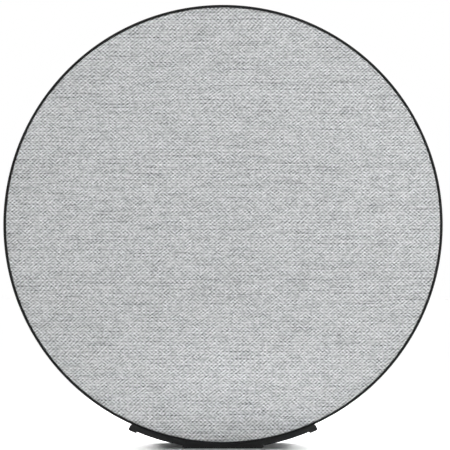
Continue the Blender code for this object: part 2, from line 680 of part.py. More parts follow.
def make_driver(driver):
    make_basket(driver)
    make_gasket(driver)
    add_piece("driver_surround", turned(surround_outline(), DRIVER_SEGMENTS), "surround_rubber", driver)
    add_piece("driver_spider", turned(spider_outline(), COIL_SEGMENTS), "spider_cloth", driver)
    make_cone_assembly(driver)
    make_motor(driver)
    for number, angle in enumerate(DRIVER_SCREW_ANGLES, 1):
        x, z = polar(DRIVER_SCREW_RADIUS, angle)
        pan_screw(f"driver_screw_{number}", driver, (x, FLANGE_BACK + 0.05, z), 4.4)


# The electronics --------------------------------------------------------------------

def board_outline():
    """A crescent: round below like the shell, and hollowed above for the loudspeaker."""
    side = math.degrees(math.asin(BOARD_TOP / BOARD_RADIUS))
    below = arc((0.0, 0.0), (BOARD_RADIUS, BOARD_RADIUS), side, -180.0 - side, 18)
    hollow = math.degrees(math.asin((BOARD_TOP - DRIVER_RISE) / BOARD_HOLLOW))
    above = arc((0.0, DRIVER_RISE), (BOARD_HOLLOW, BOARD_HOLLOW), -180.0 - hollow, hollow, 8)
    return below + above


def make_main_board(hub):
    board = add_piece("main_board", extruded(board_outline(), BOARD_FRONT, BOARD_BACK), "board_green", hub)
    combine(board, "DIFFERENCE", "holes",
            [rod(CLEARANCE_BORE, BOARD_FRONT - OVERSHOOT, BOARD_BACK + OVERSHOOT, centre)
             for centre in BOARD_SCREWS])
    for number, (x, z) in enumerate(BOARD_SCREWS, 1):
        pan_screw(f"main_board_screw_{number}", hub, (x, BOARD_FRONT - 0.05, z), 9.0, towards=1.0)
    surface = BOARD_BACK + PART_GAP
    x, z = SHIELD_CENTRE
    add_piece("processor_shield", extruded(rectangle(*SHIELD_SIZE), 0.0, PROCESSOR_HEIGHT), "shield_tin", hub,
              (x, surface, z))
    add_piece("radio_shield", extruded(rectangle(*SHIELD_SIZE), 0.0, RADIO_HEIGHT), "shield_tin", hub,
              (-x, surface, z))
    pad_width, pad_height, pad_depth = PAD_SIZE
    pad_front = surface + PROCESSOR_HEIGHT + PART_GAP
    pad = extruded(rectangle(pad_width, pad_height), 0.0, pad_depth)
    add_piece("thermal_pad", pad, "thermal_silicone", hub, (x, pad_front, z))
    width, height = SHIELD_SIZE
    spreader = add_piece("heat_spreader", extruded(comb_outline(width, SPREADER_FINS), -height / 2, height / 2),
                         "heat_aluminium", hub, (x, pad_front + pad_depth + PART_GAP, z))
    spreader.rotation_euler = (math.radians(90.0), 0.0, 0.0)


def comb_outline(width, fins):
    """The end view of a plate with fins standing on it."""
    plate, fin, height = SPREADER_PLATE, FIN_THICKNESS, SPREADER_HEIGHT
    pitch = (width - fin) / (fins - 1)
    outline = [(-width / 2, 0.0), (width / 2, 0.0)]
    for index in reversed(range(fins)):
        left = -width / 2 + index * pitch
        if index < fins - 1:
            outline.append((left + fin, -plate))
        outline += [(left + fin, -height), (left, -height)]
        if index > 0:
            outline.append((left, -plate))
    return outline


def make_ethernet_jack(hub):
    """An upright jack: an open box with a stepped mouth for the plug and its latch."""
    width, height = JACK_SIZE
    depth = SOCKET_FACE - BOARD_BACK - PART_GAP
    x, z = JACK_CENTRE
    jack = add_piece("ethernet_jack", extruded(rectangle(width, height), 0.0, depth), "chip_black", hub,
                     (x, BOARD_BACK + PART_GAP, z))
    combine(jack, "DIFFERENCE", "mouth", [extruded(JACK_MOUTH, depth - JACK_DEPTH, depth + OVERSHOOT)])


def make_usb_c_socket(hub):
    """The power inlet: a flat oval shell with a tongue standing in it."""
    width, height = USB_SIZE
    depth = SOCKET_FACE - BOARD_BACK - PART_GAP
    x, z = USB_CENTRE
    shell = extruded(rounded_box(width, height, height / 2 - 0.05, steps=4), 0.0, depth)
    socket = add_piece("usb_c_socket", shell, "shield_tin", hub, (x, BOARD_BACK + PART_GAP, z))
    mouth = rounded_box(width - 2 * USB_WALL, height - 2 * USB_WALL, height / 2 - 0.05 - USB_WALL, steps=4)
    combine(socket, "DIFFERENCE", "mouth", [extruded(mouth, depth - USB_DEPTH, depth + OVERSHOOT)])
    combine(socket, "UNION", "tongue", [extruded(rectangle(*USB_TONGUE), depth - USB_DEPTH - 0.8, depth - 0.8)])


def make_antennas(hub):
    """Flat antennas stuck to the back of the baffle, clear of the loudspeaker."""
    places = {"antenna_left": (58.0, 139.0, 34.0), "antenna_right": (58.0, 41.0, 34.0),
              "antenna_mesh": (61.0, 90.0, 26.0)}
    for name, (radius, angle, length) in places.items():
        x, z = polar(radius, angle)
        foil = extruded(rectangle(length, ANTENNA_WIDTH), 0.0, ANTENNA_THICKNESS)
        antenna = add_piece(name, foil, "coil_copper", hub, (x, BAFFLE_BACK + 0.2, z))
        antenna.rotation_euler = (0.0, math.radians(90.0 - angle), 0.0)


def make_wiring(hub):
    """The ribbon between the two boards, and the lead from the main board to the loudspeaker."""
    path = [(-33.0, BOARD_BACK + 0.3), (-31.0, BOARD_BACK + 0.4), (-28.0, 1.5), (-22.0, 8.0), (-16.0, 11.0),
            (-13.0, 11.2), (-9.0, 11.2)]
    ribbon = sideways(strip([(y, z) for z, y in path], 0.3), 18.0, 23.0)
    add_piece("ribbon_cable", ribbon, "ribbon_film", hub)
    curve = bpy.data.curves.new("speaker_lead", "CURVE")
    curve.dimensions = "3D"
    curve.bevel_depth = 0.7 * MM
    curve.bevel_resolution = 1
    curve.use_fill_caps = True
    route = [(3.0, -0.8, -14.4), (3.0, 0.6, -17.0), (3.0, 1.6, -20.0), (3.0, 2.0, -24.0), (3.0, 1.6, -28.0),
             (3.0, 0.6, -31.0), (3.0, -0.6, -33.5), (3.0, -1.5, -36.0)]
    spline = curve.splines.new("POLY")
    spline.points.add(len(route) - 1)
    for point, place in zip(spline.points, route):
        point.co = (*(Vector(place) * MM), 1.0)
    curve.materials.append(material("lead_jacket"))
    lead = bpy.data.objects.new("speaker_lead", curve)
    lead.parent = hub
    bpy.context.collection.objects.link(lead)


# The controls -----------------------------------------------------------------------

def make_switch(name, hub, centre):
    """A push switch: a square body with a round plunger."""
    base = CONTROL_BACK + PART_GAP
    x, z = centre
    switch = add_piece(name, extruded(rectangle(SWITCH_SIZE, SWITCH_SIZE), 0.0, 1.6), "chip_black", hub,
                       (x, base, z))
    combine(switch, "UNION", "plunger", [rod(PLUNGER_RADIUS, 1.0, SWITCH_TOP - base)])


def make_control_board(hub):
    board = extruded(rounded_box(*CONTROL_SIZE, 3.0, CONTROL_CENTRE), CONTROL_FRONT, CONTROL_BACK)
    board = add_piece("control_board", board, "board_green", hub)
    combine(board, "DIFFERENCE", "holes",
            [rod(CLEARANCE_BORE, CONTROL_FRONT - OVERSHOOT, CONTROL_BACK + OVERSHOOT, centre)
             for centre in CONTROL_SCREWS])
    for number, (x, z) in enumerate(CONTROL_SCREWS, 1):
        pan_screw(f"control_board_screw_{number}", hub, (x, CONTROL_FRONT - 0.05, z), 5.5, towards=1.0)
    make_switch("pair_switch", hub, PAIR_CENTRE)
    make_switch("reset_switch", hub, RESET_CENTRE)
    x, z = ROCKER_CENTRE
    make_switch("volume_up_switch", hub, (x + ROCKER_REACH, z))
    make_switch("volume_down_switch", hub, (x - ROCKER_REACH, z))
    body = extruded(rectangle(9.0, 3.6), 0.0, 1.8)
    add_piece("mute_switch", body, "chip_black", hub,
              (MUTE_CENTRE[0] + MUTE_TRAVEL / 2, CONTROL_BACK + PART_GAP, MUTE_CENTRE[1]))


def button_outline(radius, top, flange_radius, stem_radius, stem_end):
    """A round cap, the flange that keeps it in, and its stem."""
    flange_front, flange_back = FLANGE_LEVELS
    return [(0.0, top + 0.1), (radius * 0.6, top), (radius - 0.2, top - 0.15), (radius, top - 0.4),
            (radius, flange_back), (flange_radius, flange_back), (flange_radius, flange_front),
            (stem_radius, flange_front), (stem_radius, stem_end), (0.0, stem_end)]


def make_buttons(hub):
    """Each button stands on its own joint's axis."""
    stem_end = SWITCH_TOP + 0.9
    pair = turned(button_outline(PAIR_RADIUS, PAIR_TOP, PAIR_RADIUS + 1.1, 1.5, stem_end), 20)
    add_piece("pair_button", pair, "control_plastic", hub, (PAIR_CENTRE[0], 0.0, PAIR_CENTRE[1]))
    reset = turned(button_outline(RESET_RADIUS, RESET_TOP, RESET_RADIUS * 2, 1.0, SWITCH_TOP + 0.6), 12)
    add_piece("reset_button", reset, "control_plastic", hub, (RESET_CENTRE[0], 0.0, RESET_CENTRE[1]))


def make_volume_rocker(hub):
    """A long cap on two trunnions, with a stem over each switch. Its origin is on the pivot."""
    width, height = ROCKER_SIZE
    cap = extruded(rounded_box(width, height, height / 2 - 0.05, steps=5), 0.0, ROCKER_HEIGHT)
    rocker = add_piece("volume_rocker", cap, "control_plastic", hub,
                       (ROCKER_CENTRE[0], ROCKER_AXIS_DEPTH, ROCKER_CENTRE[1]))
    trunnion = turn_to(rod(TRUNNION_RADIUS, -TRUNNION_LENGTH / 2, TRUNNION_LENGTH / 2),
                       Matrix.Rotation(math.radians(90.0), 4, "X"))
    stems = [rod(1.2, SWITCH_TOP + 0.65 - ROCKER_AXIS_DEPTH, 1.0, (side * ROCKER_REACH, 0.0))
             for side in (-1, 1)]
    combine(rocker, "UNION", "trunnions_and_stems", [trunnion] + stems)


def make_mute_slider(hub):
    """A ridged knob on a flange that covers its slot, with a peg down to its switch."""
    knob_width, knob_height = MUTE_KNOB
    flange = extruded(rounded_box(*MUTE_FLANGE, 1.5), *MUTE_LEVELS)
    slider = add_piece("mute_slider", flange, "control_plastic", hub, (MUTE_CENTRE[0], 0.0, MUTE_CENTRE[1]))
    knob = extruded(rounded_box(knob_width, knob_height, 1.1), 17.0, MUTE_TOP)
    peg = extruded(rectangle(1.5, 1.5), 14.9, 16.8)
    combine(slider, "UNION", "knob_and_peg", [knob, peg])
    grooves = [extruded(rectangle(0.5, 6.0, (offset, 0.0)), MUTE_TOP - 0.4, MUTE_TOP + OVERSHOOT)
               for offset in (-1.2, 0.0, 1.2)]
    combine(slider, "DIFFERENCE", "grooves", grooves)


# The stand --------------------------------------------------------------------------

def cradle_outline():
    """The band, with a lip at each end and a flat foot under its middle."""
    down = -90.0
    foot_top = math.degrees(math.asin(FOOT_HALF_WIDTH / BAND_OUTER))
    foot_level = FOOT_HEIGHT - CENTRE_HEIGHT
    middle = (0.0, 0.0)
    inner = arc(middle, (BAND_INNER, BAND_INNER), down - BAND_HALF_ANGLE, down + BAND_HALF_ANGLE, 20)
    right_lip = arc(middle, (LIP_OUTER, LIP_OUTER), down + BAND_HALF_ANGLE, down + LIP_START_ANGLE, 2)
    right_band = arc(middle, (BAND_OUTER, BAND_OUTER), down + LIP_START_ANGLE, down + foot_top, 5)
    foot = [(FOOT_HALF_WIDTH, foot_level), (-FOOT_HALF_WIDTH, foot_level)]
    left_band = arc(middle, (BAND_OUTER, BAND_OUTER), down - foot_top, down - LIP_START_ANGLE, 5)
    left_lip = arc(middle, (LIP_OUTER, LIP_OUTER), down - LIP_START_ANGLE, down - BAND_HALF_ANGLE, 2)
    return inner + right_lip + right_band + foot + left_band + left_lip


def make_stand(hub):
    cradle = add_piece("stand_cradle", extruded(cradle_outline(), -BAND_DEPTH / 2, BAND_DEPTH / 2),
                       "stand_metal", hub)
    narrow, wide = SINK_RADII
    inner_end, outer_end = BAND_INNER - OVERSHOOT, BAND_OUTER + OVERSHOOT
    sink = [(0.0, inner_end), (narrow, inner_end), (narrow, BAND_INNER), (wide, BAND_OUTER), (wide, outer_end),
            (0.0, outer_end)]
    sinks = [radial(turned(sink, 16), -90.0 + side * STAND_SCREW_ANGLE) for side in (-1, 1)]
    combine(cradle, "DIFFERENCE", "countersinks", sinks)
    for number, side in enumerate((-1, 1), 1):
        head = BAND_OUTER - 0.05
        screw = [(0.0, STAND_SCREW_TIP), (STAND_SCREW_SHANK, STAND_SCREW_TIP), (STAND_SCREW_SHANK, BAND_INNER),
                 (STAND_SCREW_HEAD, head), (0.0, head)]
        add_piece(f"stand_screw_{number}", radial(turned(screw, 16), -90.0 + side * STAND_SCREW_ANGLE),
                  "screw_steel", hub)
    width, depth = SOLE_SIZE
    sole = extruded(rectangle(width, SOLE_THICKNESS), -depth / 2, depth / 2)
    add_piece("stand_sole", sole, "sole_rubber", hub, (0.0, 0.0, SOLE_THICKNESS / 2 - CENTRE_HEIGHT))


def clear_scene():
    for existing in list(bpy.data.objects):
        bpy.data.objects.remove(existing, do_unlink=True)


def main():
    clear_scene()
    hub = axis_empty("hub_axis", CENTRE_HEIGHT)
    driver = axis_empty("driver_axis", DRIVER_RISE, hub)
    make_shell(hub)
    make_cloth(hub)
    make_fabric_frame(hub)
    make_baffle(hub)
    make_front_electronics(hub)
    make_driver(driver)
    make_main_board(hub)
    make_ethernet_jack(hub)
    make_usb_c_socket(hub)
    make_antennas(hub)
    make_wiring(hub)
    make_control_board(hub)
    make_buttons(hub)
    make_volume_rocker(hub)
    make_mute_slider(hub)
    make_stand(hub)


main()
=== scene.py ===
"""The looks of the smart home hub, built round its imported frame.

Shapes are drawn in millimetres about the hub's own axis, which runs along Y through the middle of
the disc, and placed in the row's frame, in metres, as each becomes a mesh. So (x, z) = (0, 0) is
the disc's centre, and y grows from the cloth towards the back.
"""
import json
import math
from collections import namedtuple

import bmesh
import bpy
import numpy as np
from mathutils import Matrix, Vector, noise


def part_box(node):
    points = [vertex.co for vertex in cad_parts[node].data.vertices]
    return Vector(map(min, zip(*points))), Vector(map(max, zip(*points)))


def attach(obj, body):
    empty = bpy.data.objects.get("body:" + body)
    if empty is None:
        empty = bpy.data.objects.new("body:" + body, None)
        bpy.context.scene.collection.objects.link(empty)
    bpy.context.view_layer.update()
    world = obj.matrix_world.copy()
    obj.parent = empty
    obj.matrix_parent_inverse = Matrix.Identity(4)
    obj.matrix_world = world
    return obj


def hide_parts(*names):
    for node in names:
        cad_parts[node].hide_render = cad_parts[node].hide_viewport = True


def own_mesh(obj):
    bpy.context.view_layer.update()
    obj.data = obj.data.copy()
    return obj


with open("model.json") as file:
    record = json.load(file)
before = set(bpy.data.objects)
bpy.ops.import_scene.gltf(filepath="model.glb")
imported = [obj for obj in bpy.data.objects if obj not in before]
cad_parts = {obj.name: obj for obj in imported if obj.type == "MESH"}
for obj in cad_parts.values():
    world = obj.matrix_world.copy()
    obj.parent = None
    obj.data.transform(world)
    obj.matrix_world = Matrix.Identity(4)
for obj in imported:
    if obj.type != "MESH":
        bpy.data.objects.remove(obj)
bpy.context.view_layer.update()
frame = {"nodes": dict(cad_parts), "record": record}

MM = 0.001
NEAR_AXIS = 1e-6
MERGED = 1e-4


# What the frame says ------------------

def size_of(node):
    """A CAD node's lowest and highest corners, in millimetres about the hub's axis."""
    low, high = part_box(node)
    drop = Vector((0.0, 0.0, CENTRE_HEIGHT))
    return low / MM - drop, high / MM - drop


def middle_of(node):
    """The middle of a CAD node's box, in the same measure."""
    low, high = size_of(node)
    return (low + high) / 2


shell_low, shell_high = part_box("rear_housing")
CENTRE_HEIGHT = (shell_low.z + shell_high.z) / 2 / MM
HUB_RADIUS = (shell_high.x - shell_low.x) / 2 / MM
FRONT = shell_low.y / MM
BACK = shell_high.y / MM
fabric_low, fabric_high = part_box("front_fabric")
CLOTH_RADIUS = (fabric_high.x - fabric_low.x) / 2 / MM
CLOTH_FRONT = fabric_low.y / MM
CLOTH_BACK = fabric_high.y / MM

# The shell
WALL = 2.2
RIM_LIP = 0.7
RIM_DEPTH = 3.0
RIM_ROUND = 0.25
LIP_ROUND = 0.15
SHOULDER_WIDTH = 24.0
SHOULDER_DEPTH = 16.0
SEAM_PLACE = -12.5
SEAM_WIDTH = 0.5
SEAM_DEPTH = 0.3
SEAM_EASE = 0.1
SHELL_SEGMENTS = 288
INNER_BACK = BACK - WALL
ROOT_DEPTH = 18.5
PAST = 1.0  # how far a cutter runs beyond what it cuts

# The shell's openings: vents round the back, the socket recess, and the holes for the keys
OPENING_START = INNER_BACK - 2.0
OPENING_ROUND = 0.35
HOLE_STRAIGHT = 0.02  # what stays straight between the round ends of a long hole
FLARE_PAST = 0.3  # how far a flare goes on beyond the surface, both outwards and sideways
VENT_ANGLES = range(-30, 211, 10)
VENT_SIZE = (10.0, 2.2)
VENT_RADIUS = 45.0
RECESS_SIZE = (48.0, 20.0)
RECESS_CORNER = 4.0
RECESS_ROUND = 0.8
RECESS_FLOOR = 0.2  # this and the next are measured from the network jack's face
RECESS_WALL_START = -1.8
KEY_GAP = 0.4
SLIDER_SLOT = (8.6, 5.0, 1.4)
SLIDER_TRAVEL = 3.0
SOCKET_GAP = 0.3
WINDOW_CORNERS = {"ethernet_jack": 0.4, "usb_c_socket": 1.8}
WINDOW_START = 10.0

# Screw bosses: the screws' name, how many, the boss's radius, where it begins and ends, and how
# deep its bore is
BOSSES = (("baffle_screw", 6, 3.6, -13.3, -1.0, -3.0),
          ("main_board_screw", 3, 2.6, -2.3, ROOT_DEPTH, 8.0),
          ("control_board_screw", 2, 2.6, 12.8, ROOT_DEPTH, 18.0))
BORE = 1.3
STAND_BOSS = 3.2
STAND_BOSS_ENDS = (64.0, 73.8)
CLEARANCE_BORE = 1.4

# The stand's band: its radii, its half angles from straight down, and its foot
DOWN = -90.0
BAND_INNER = 75.2
BAND_OUTER = 76.3
BAND_HALF_ANGLE = 24.6
BAND_EASE_ANGLE = 0.12
BAND_CORNER = 0.15
BAND_ROUND = 0.3
LIP_RADIUS = 76.84
LIP_ANGLE = 22.7
LIP_DROP = 0.12
LIP_SIDE_ANGLE = 0.05
FOOT_HALF_WIDTH = 13.6
FOOT_LEVEL = 0.45 - CENTRE_HEIGHT
FOOT_CORNER = ((0.0, 0.3), (0.1, 0.08), (0.3, 0.0))

# The stand's screws, as (radius, distance from the hub's axis), and the cross in their heads
STAND_SCREW_ANGLES = (DOWN - 17.0, DOWN + 17.0)
HEAD_TOP = 76.22
STAND_SCREW = [(0.0, 67.0), (0.9, 67.0), (1.2, 67.6), (1.2, BAND_INNER), (2.38, HEAD_TOP - 0.12),
               (2.3, HEAD_TOP), (0.0, HEAD_TOP)]
COUNTERSINK = [(0.0, 74.0), (1.6, 74.0), (1.6, BAND_INNER), (2.8, BAND_OUTER), (2.8, 78.0),
               (0.0, 78.0)]
CROSS_SIZE = (2.6, 0.55)
CROSS_TAPER = (0.45, 0.8)
CROSS_CORNERS = (0.1, 0.12)
CROSS_DEPTH = 0.9
CROSS_PAST = 0.1

# The sole
SOLE_CORNER = 1.2
SOLE_ROUND = 0.1
SOLE_GROOVES = 13
SOLE_GROOVE_PITCH = 2.9
SOLE_GROOVE_SIZE = (0.7, 0.3)
SOLE_GROOVE_ENDS = (-0.5, 0.15)
SOLE_GROOVE_INSET = 2.0

# The controls
Key = namedtuple("Key", "body radius top dish edge flange stem stem_end")
KEYS = {"pair_button": Key("pair_key", 4.5, 20.5, 0.3, 0.45, 5.6, 1.5, 15.9),
        "reset_button": Key("reset_key", 1.3, 19.3, 0.12, 0.2, 2.6, 1.0, 15.6)}
KEY_FLANGE_ENDS = (16.2, 17.3)
DISH_INSET = 0.25
CAP_STRAIGHT = 0.1  # what stays straight between the round ends of a long cap
PIN_EASE = 0.1
ROCKER_SIZE = (24.0, 8.0)
ROCKER_AXIS_DEPTH = 16.4
ROCKER_ROUNDS = (0.7, 0.15)
ROCKER_STEM = (1.2, 15.65, 17.4)
ROCKER_STEM_OFFSET = 8.0
DIMPLE_SPHERE = 11.0
DIMPLE_DEPTH = 0.35
TRUNNION_RADIUS = 1.0
TRUNNION_HALF_LENGTH = 6.2
TRUNNION_PLAY = 0.1
SADDLE_OFFSET = 5.6
SADDLE_SIZE = (4.4, 1.8, 0.3)
SADDLE_FRONT = 15.0
SADDLE_MOUTH = 3.0
SLIDER_FLANGE = (12.4, 6.8, 1.5)
SLIDER_FLANGE_ENDS = (16.4, 17.5)
SLIDER_FLANGE_ROUND = 0.15
SLIDER_KNOB = (5.0, 4.4, 1.1)
SLIDER_KNOB_START = 17.2
SLIDER_KNOB_ROUND = 0.3
SLIDER_PEG = (1.5, 1.5, 0.2)
SLIDER_PEG_END = 16.8
GRIP_GROOVES = 5
GRIP_PITCH = 0.75
GRIP_RADIUS = 0.24
GRIP_HALF_LENGTH = 3.0

# The network jack: half of its stepped mouth, and a contact's side view as (depth behind the
# jack's face, height)
JACK_CORNER = 0.5
JACK_ROUND = 0.2
MOUTH_HALF = [(5.9, -4.6), (5.9, 2.6), (3.0, 2.6), (3.0, 4.6)]
MOUTH_DEPTH = 12.0
JACK_CONTACTS = 8
JACK_CONTACT_PITCH = 1.02
JACK_CONTACT_HALF_WIDTH = 0.2
JACK_CONTACT = ((11.8, -4.45), (3.0, -4.45), (2.4, -4.25), (8.5, -1.9), (8.9, -2.1),
                (3.6, -4.15), (11.8, -4.15))

# The power socket: its drawn shell, and its tongue with a row of pads on each face
SOCKET_WALL = 0.3
SOCKET_DEPTH = 6.2
SOCKET_ROUND = 0.12
TONGUE_SIZE = (6.7, 0.7, 0.15)
TONGUE_ENDS = (-6.4, -0.8)
PADS = 12
PAD_PITCH = 0.5
PAD_OFFSET = 0.36
PAD_SIZE = (0.26, 0.06, 0.02)
PAD_ENDS = (-5.6, -1.3)

# The loudspeaker
CONE_NECK = 10.5
CONE_THICKNESS = 0.6
CONE_RINGS = 4
CONE_RING_DEPTH = 0.12
CAP_THICKNESS = 0.4
ROLL_RADIUS = 2.5
ROLL_THICKNESS = 0.45
ROLL_MIDDLE = 27.1
ROLL_FOOT = 0.15
SPIDER_THICKNESS = 0.35
SPIDER_WAVES = 3

# The cloth: its weave's repeat across and up, its relief, and how its yarns wander. Each wander is
# a strength, a patch size across and up, and a place in the noise. The strengths of the shifts are
# in radians of the weave.
REPEAT_ACROSS = 1.416
REPEAT_UP = 1.195
SAMPLES_PER_REPEAT = 3
RELIEF = 0.07
CLOTH_EDGE_ROUND = 0.4
CLOTH_EDGE_SHARE = 0.6
RISE_MEAN = 0.39
RISE_WANDER = (0.70, (2.6, 1.7), 11.0)
FALL_MEAN = 0.54
FALL_WANDER = (0.70, (2.6, 1.7), 53.0)
ACROSS_WANDERS = ((2.6, (24.0, 4.5), 23.0), (4.0, (48.0, 14.0), 71.0))
UP_WANDERS = ((1.4, (20.0, 7.0), 37.0), (2.5, (60.0, 17.0), 89.0))

# The cloth's colour, and how much each part of its weave changes it
CLOTH_COLOUR = (0.414, 0.4235, 0.428)
# Painted shade: the weave's relief turned into colour, darker in the gaps between the yarns and lighter
# on their tops
WEAVE_PAINTED_SHADE = 0.44
ROW_TONE = 0.11
FLOAT_TONE = 0.20
SLUB_TONE = 0.06
SLUBS_PER_METRE = 220.0
FIBRE_TONE = 0.17
FIBRES_PER_METRE = 9000.0
FIBRE_RELIEF = 0.35
ROW_STRIDE = 5.3
YARN_PITCH = 0.6825
YARN_TONE = 0.105
STREAKS_PER_METRE = 65.0
STREAK_TONE = 0.42
STREAK_LIFT = 0.025
STREAK_RANGE = (0.52, 0.82)

# The studio, in metres: the floor, the dome, and each light's name, place, aim, size, power in
# watts and spread in degrees
FLOOR_HALF_WIDTH = 3.0
FLOOR_COLOUR = (0.9, 0.9, 0.9)
DOME_STRENGTHS = (0.05, 2.5)
DOME_BLEND = (-0.15, 0.35)
HUB_CENTRE = (0.0, 0.0, CENTRE_HEIGHT * MM)
HUB_TOP = (0.0, -0.02, 0.15)
HUB_BOTTOM = (0.0, -0.02, 0.01)
FOOT = (0.0, 0.0, 0.0)
LIGHTS = (("front", (0.55, -0.75, 0.03), HUB_CENTRE, (0.35, 0.05), 2.15, 180.0),
          ("side", (0.3, -0.25, 0.045), HUB_CENTRE, (0.1, 0.08), 0.21, 180.0),
          ("high", (0.0, -0.35, 0.32), HUB_TOP, (0.3, 0.05), 0.017, 30.0),
          ("low_left", (-0.3, -0.4, 0.02), HUB_BOTTOM, (0.04, 0.02), 0.002, 10.0),
          ("low_right", (0.3, -0.4, 0.02), HUB_BOTTOM, (0.04, 0.02), 0.002, 10.0),
          ("back_right", (0.7, 0.35, 0.55), FOOT, (0.5, 0.33), 1.3, 40.0),
          ("back_left", (-0.7, 0.35, 0.55), FOOT, (0.5, 0.33), 1.25, 40.0))

# The camera, in millimetres about the disc's centre
SENSOR_WIDTH = 36.0
VIEW_WIDTH = 153.54
CAMERA_DISTANCE = 1500.0
CAMERA_ACROSS = 0.67
CAMERA_RISE = -0.14


# Outlines and solids ------------------

def arc(centre, size, start, end, steps):
    """Points along an elliptical arc, between two angles in degrees."""
    turn = np.radians(np.linspace(start, end, steps + 1))
    return [(centre[0] + size[0] * math.cos(t), centre[1] + size[1] * math.sin(t)) for t in turn]


def round_arc(radius, start, end, steps, centre=(0.0, 0.0)):
    """Points along a circle, between two angles in degrees."""
    return arc(centre, (radius, radius), start, end, steps)


def circle(radius, centre=(0.0, 0.0), segments=48):
    """A whole circle's points."""
    return round_arc(radius, 0.0, 360.0, segments, centre)[:-1]


def polar(radius, degrees):
    """The point so far out at an angle."""
    return radius * math.cos(math.radians(degrees)), radius * math.sin(math.radians(degrees))


def mirrored(half):
    """Half an outline, and its other half."""
    return half + [(-x, z) for x, z in reversed(half)]


def rounded_box(width, height, corner, centre=(0.0, 0.0), steps=8):
    """A box's outline with round corners."""
    points = []
    for quarter, (side, level) in enumerate([(1, 1), (-1, 1), (-1, -1), (1, -1)]):
        corner_centre = (centre[0] + side * (width / 2 - corner),
                         centre[1] + level * (height / 2 - corner))
        start = 90.0 * quarter
        points += round_arc(corner, start, start + 90.0, steps, corner_centre)
    return points


def growing_box(width, height, corner, centre=(0.0, 0.0), steps=8):
    """A rounded box as a function of how far its outline moves outwards."""
    return lambda grow: rounded_box(width + 2 * grow, height + 2 * grow, corner + grow,
                                    centre, steps)


def growing_slot(width, height, kept_straight, centre, steps):
    """A growing box whose ends are round."""
    return growing_box(width, height, (height - kept_straight) / 2, centre, steps)


def turned(outline, segments):
    """Turn an outline of (radius, y) points about the Y axis."""
    shape = bmesh.new()
    points = [shape.verts.new((radius, y, 0.0)) for radius, y in outline]
    pairs = list(zip(points, points[1:]))
    if max(outline[0][0], outline[-1][0]) > NEAR_AXIS:
        pairs.append((points[-1], points[0]))
    edges = [shape.edges.new(pair) for pair in pairs]
    bmesh.ops.spin(shape, geom=points + edges, cent=(0, 0, 0), axis=(0, 1, 0),
                   angle=math.tau, steps=segments, use_merge=True)
    bmesh.ops.remove_doubles(shape, verts=shape.verts, dist=MERGED)
    return shape


def lofted(levels):
    """Join outlines of (x, z) points, each at its own y, into one closed solid."""
    shape = bmesh.new()
    rings = [[shape.verts.new((x, y, z)) for x, z in outline] for y, outline in levels]
    for lower, upper in zip(rings, rings[1:]):
        for index in range(len(lower)):
            after = (index + 1) % len(lower)
            shape.faces.new((lower[index], lower[after], upper[after], upper[index]))
    shape.faces.new(rings[0][::-1])
    shape.faces.new(rings[-1])
    return shape


def straight(outline, low, high):
    """A solid of one outline, from one depth to another."""
    return lofted([(low, outline), (high, outline)])


def fillet(radius, steps=4):
    """(inset, drop) pairs round a quarter circle, from the side of an edge to its top."""
    angles = [math.pi / 2 * step / steps for step in range(steps + 1)]
    return [(radius * (1 - math.cos(angle)), radius * (1 - math.sin(angle))) for angle in angles]


def rounded_block(outline, low, high, radius, base_radius=0.0):
    """A solid of a growing outline with its +Y edge rounded, and its -Y edge too if asked."""
    levels = [(high - drop, outline(-inset)) for inset, drop in fillet(radius)]
    if base_radius:
        base = [(low + drop, outline(-inset)) for inset, drop in fillet(base_radius)]
        return lofted(base[::-1] + levels)
    return lofted([(low, outline(0.0))] + levels)


def flared_cutter(outline, low, surface, radius):
    """A cutter that leaves a rounded edge where it breaks through the surface at y = surface."""
    levels = [(low, outline(0.0))]
    levels += [(surface - drop, outline(inset)) for inset, drop in fillet(radius)]
    return lofted(levels + [(surface + FLARE_PAST, outline(radius + FLARE_PAST))])


def moved(shape, place_at, degrees=0.0, axis="X"):
    """Turn a shape about an axis, then move it to a place."""
    matrix = Matrix.Translation(place_at) @ Matrix.Rotation(math.radians(degrees), 4, axis)
    bmesh.ops.transform(shape, matrix=matrix, verts=shape.verts)
    return shape


def radial(shape, degrees):
    """Take a shape drawn about the Y axis to lie along a ray of the hub's face."""
    origin = (0.0, 0.0, 0.0)
    return moved(moved(shape, origin, -90.0, "Z"), origin, -degrees, "Y")


def gathered(shapes):
    """Put separate shapes into one mesh."""
    whole = bmesh.new()
    for shape in shapes:
        bmesh.ops.recalc_face_normals(shape, faces=shape.faces)
        part = bpy.data.meshes.new("part")
        shape.to_mesh(part)
        shape.free()
        whole.from_mesh(part)
        bpy.data.meshes.remove(part)
    return whole


# Objects ------------------------------

def settle(piece):
    """Apply a piece's modifiers to its mesh."""
    evaluated = piece.evaluated_get(bpy.context.evaluated_depsgraph_get())
    mesh = bpy.data.meshes.new_from_object(evaluated)
    old = piece.data
    piece.modifiers.clear()
    piece.data = mesh
    bpy.data.meshes.remove(old)
    mesh.name = piece.name


def even_shading(piece):
    """Let each point take its normal from the larger faces round it, so that flats stay flat."""
    modifier = piece.modifiers.new("even_shading", "WEIGHTED_NORMAL")
    modifier.keep_sharp = True
    modifier.weight = 100
    settle(piece)


def add_object(name, shape, finish=None, sharp_angle=30.0):
    """Make an object in the row's frame of a shape drawn in millimetres about the hub's axis."""
    bmesh.ops.recalc_face_normals(shape, faces=shape.faces)
    to_frame = Matrix.Scale(MM, 4) @ Matrix.Translation((0, 0, CENTRE_HEIGHT))
    bmesh.ops.transform(shape, matrix=to_frame, verts=shape.verts)
    mesh = bpy.data.meshes.new(name)
    shape.to_mesh(mesh)
    shape.free()
    if finish:
        mesh.materials.append(finishes[finish])
    made = linked(bpy.data.objects.new(name, mesh))
    smooth(made, sharp_angle)
    return made


def linked(made):
    """Put a new object into the scene."""
    bpy.context.collection.objects.link(made)
    return made


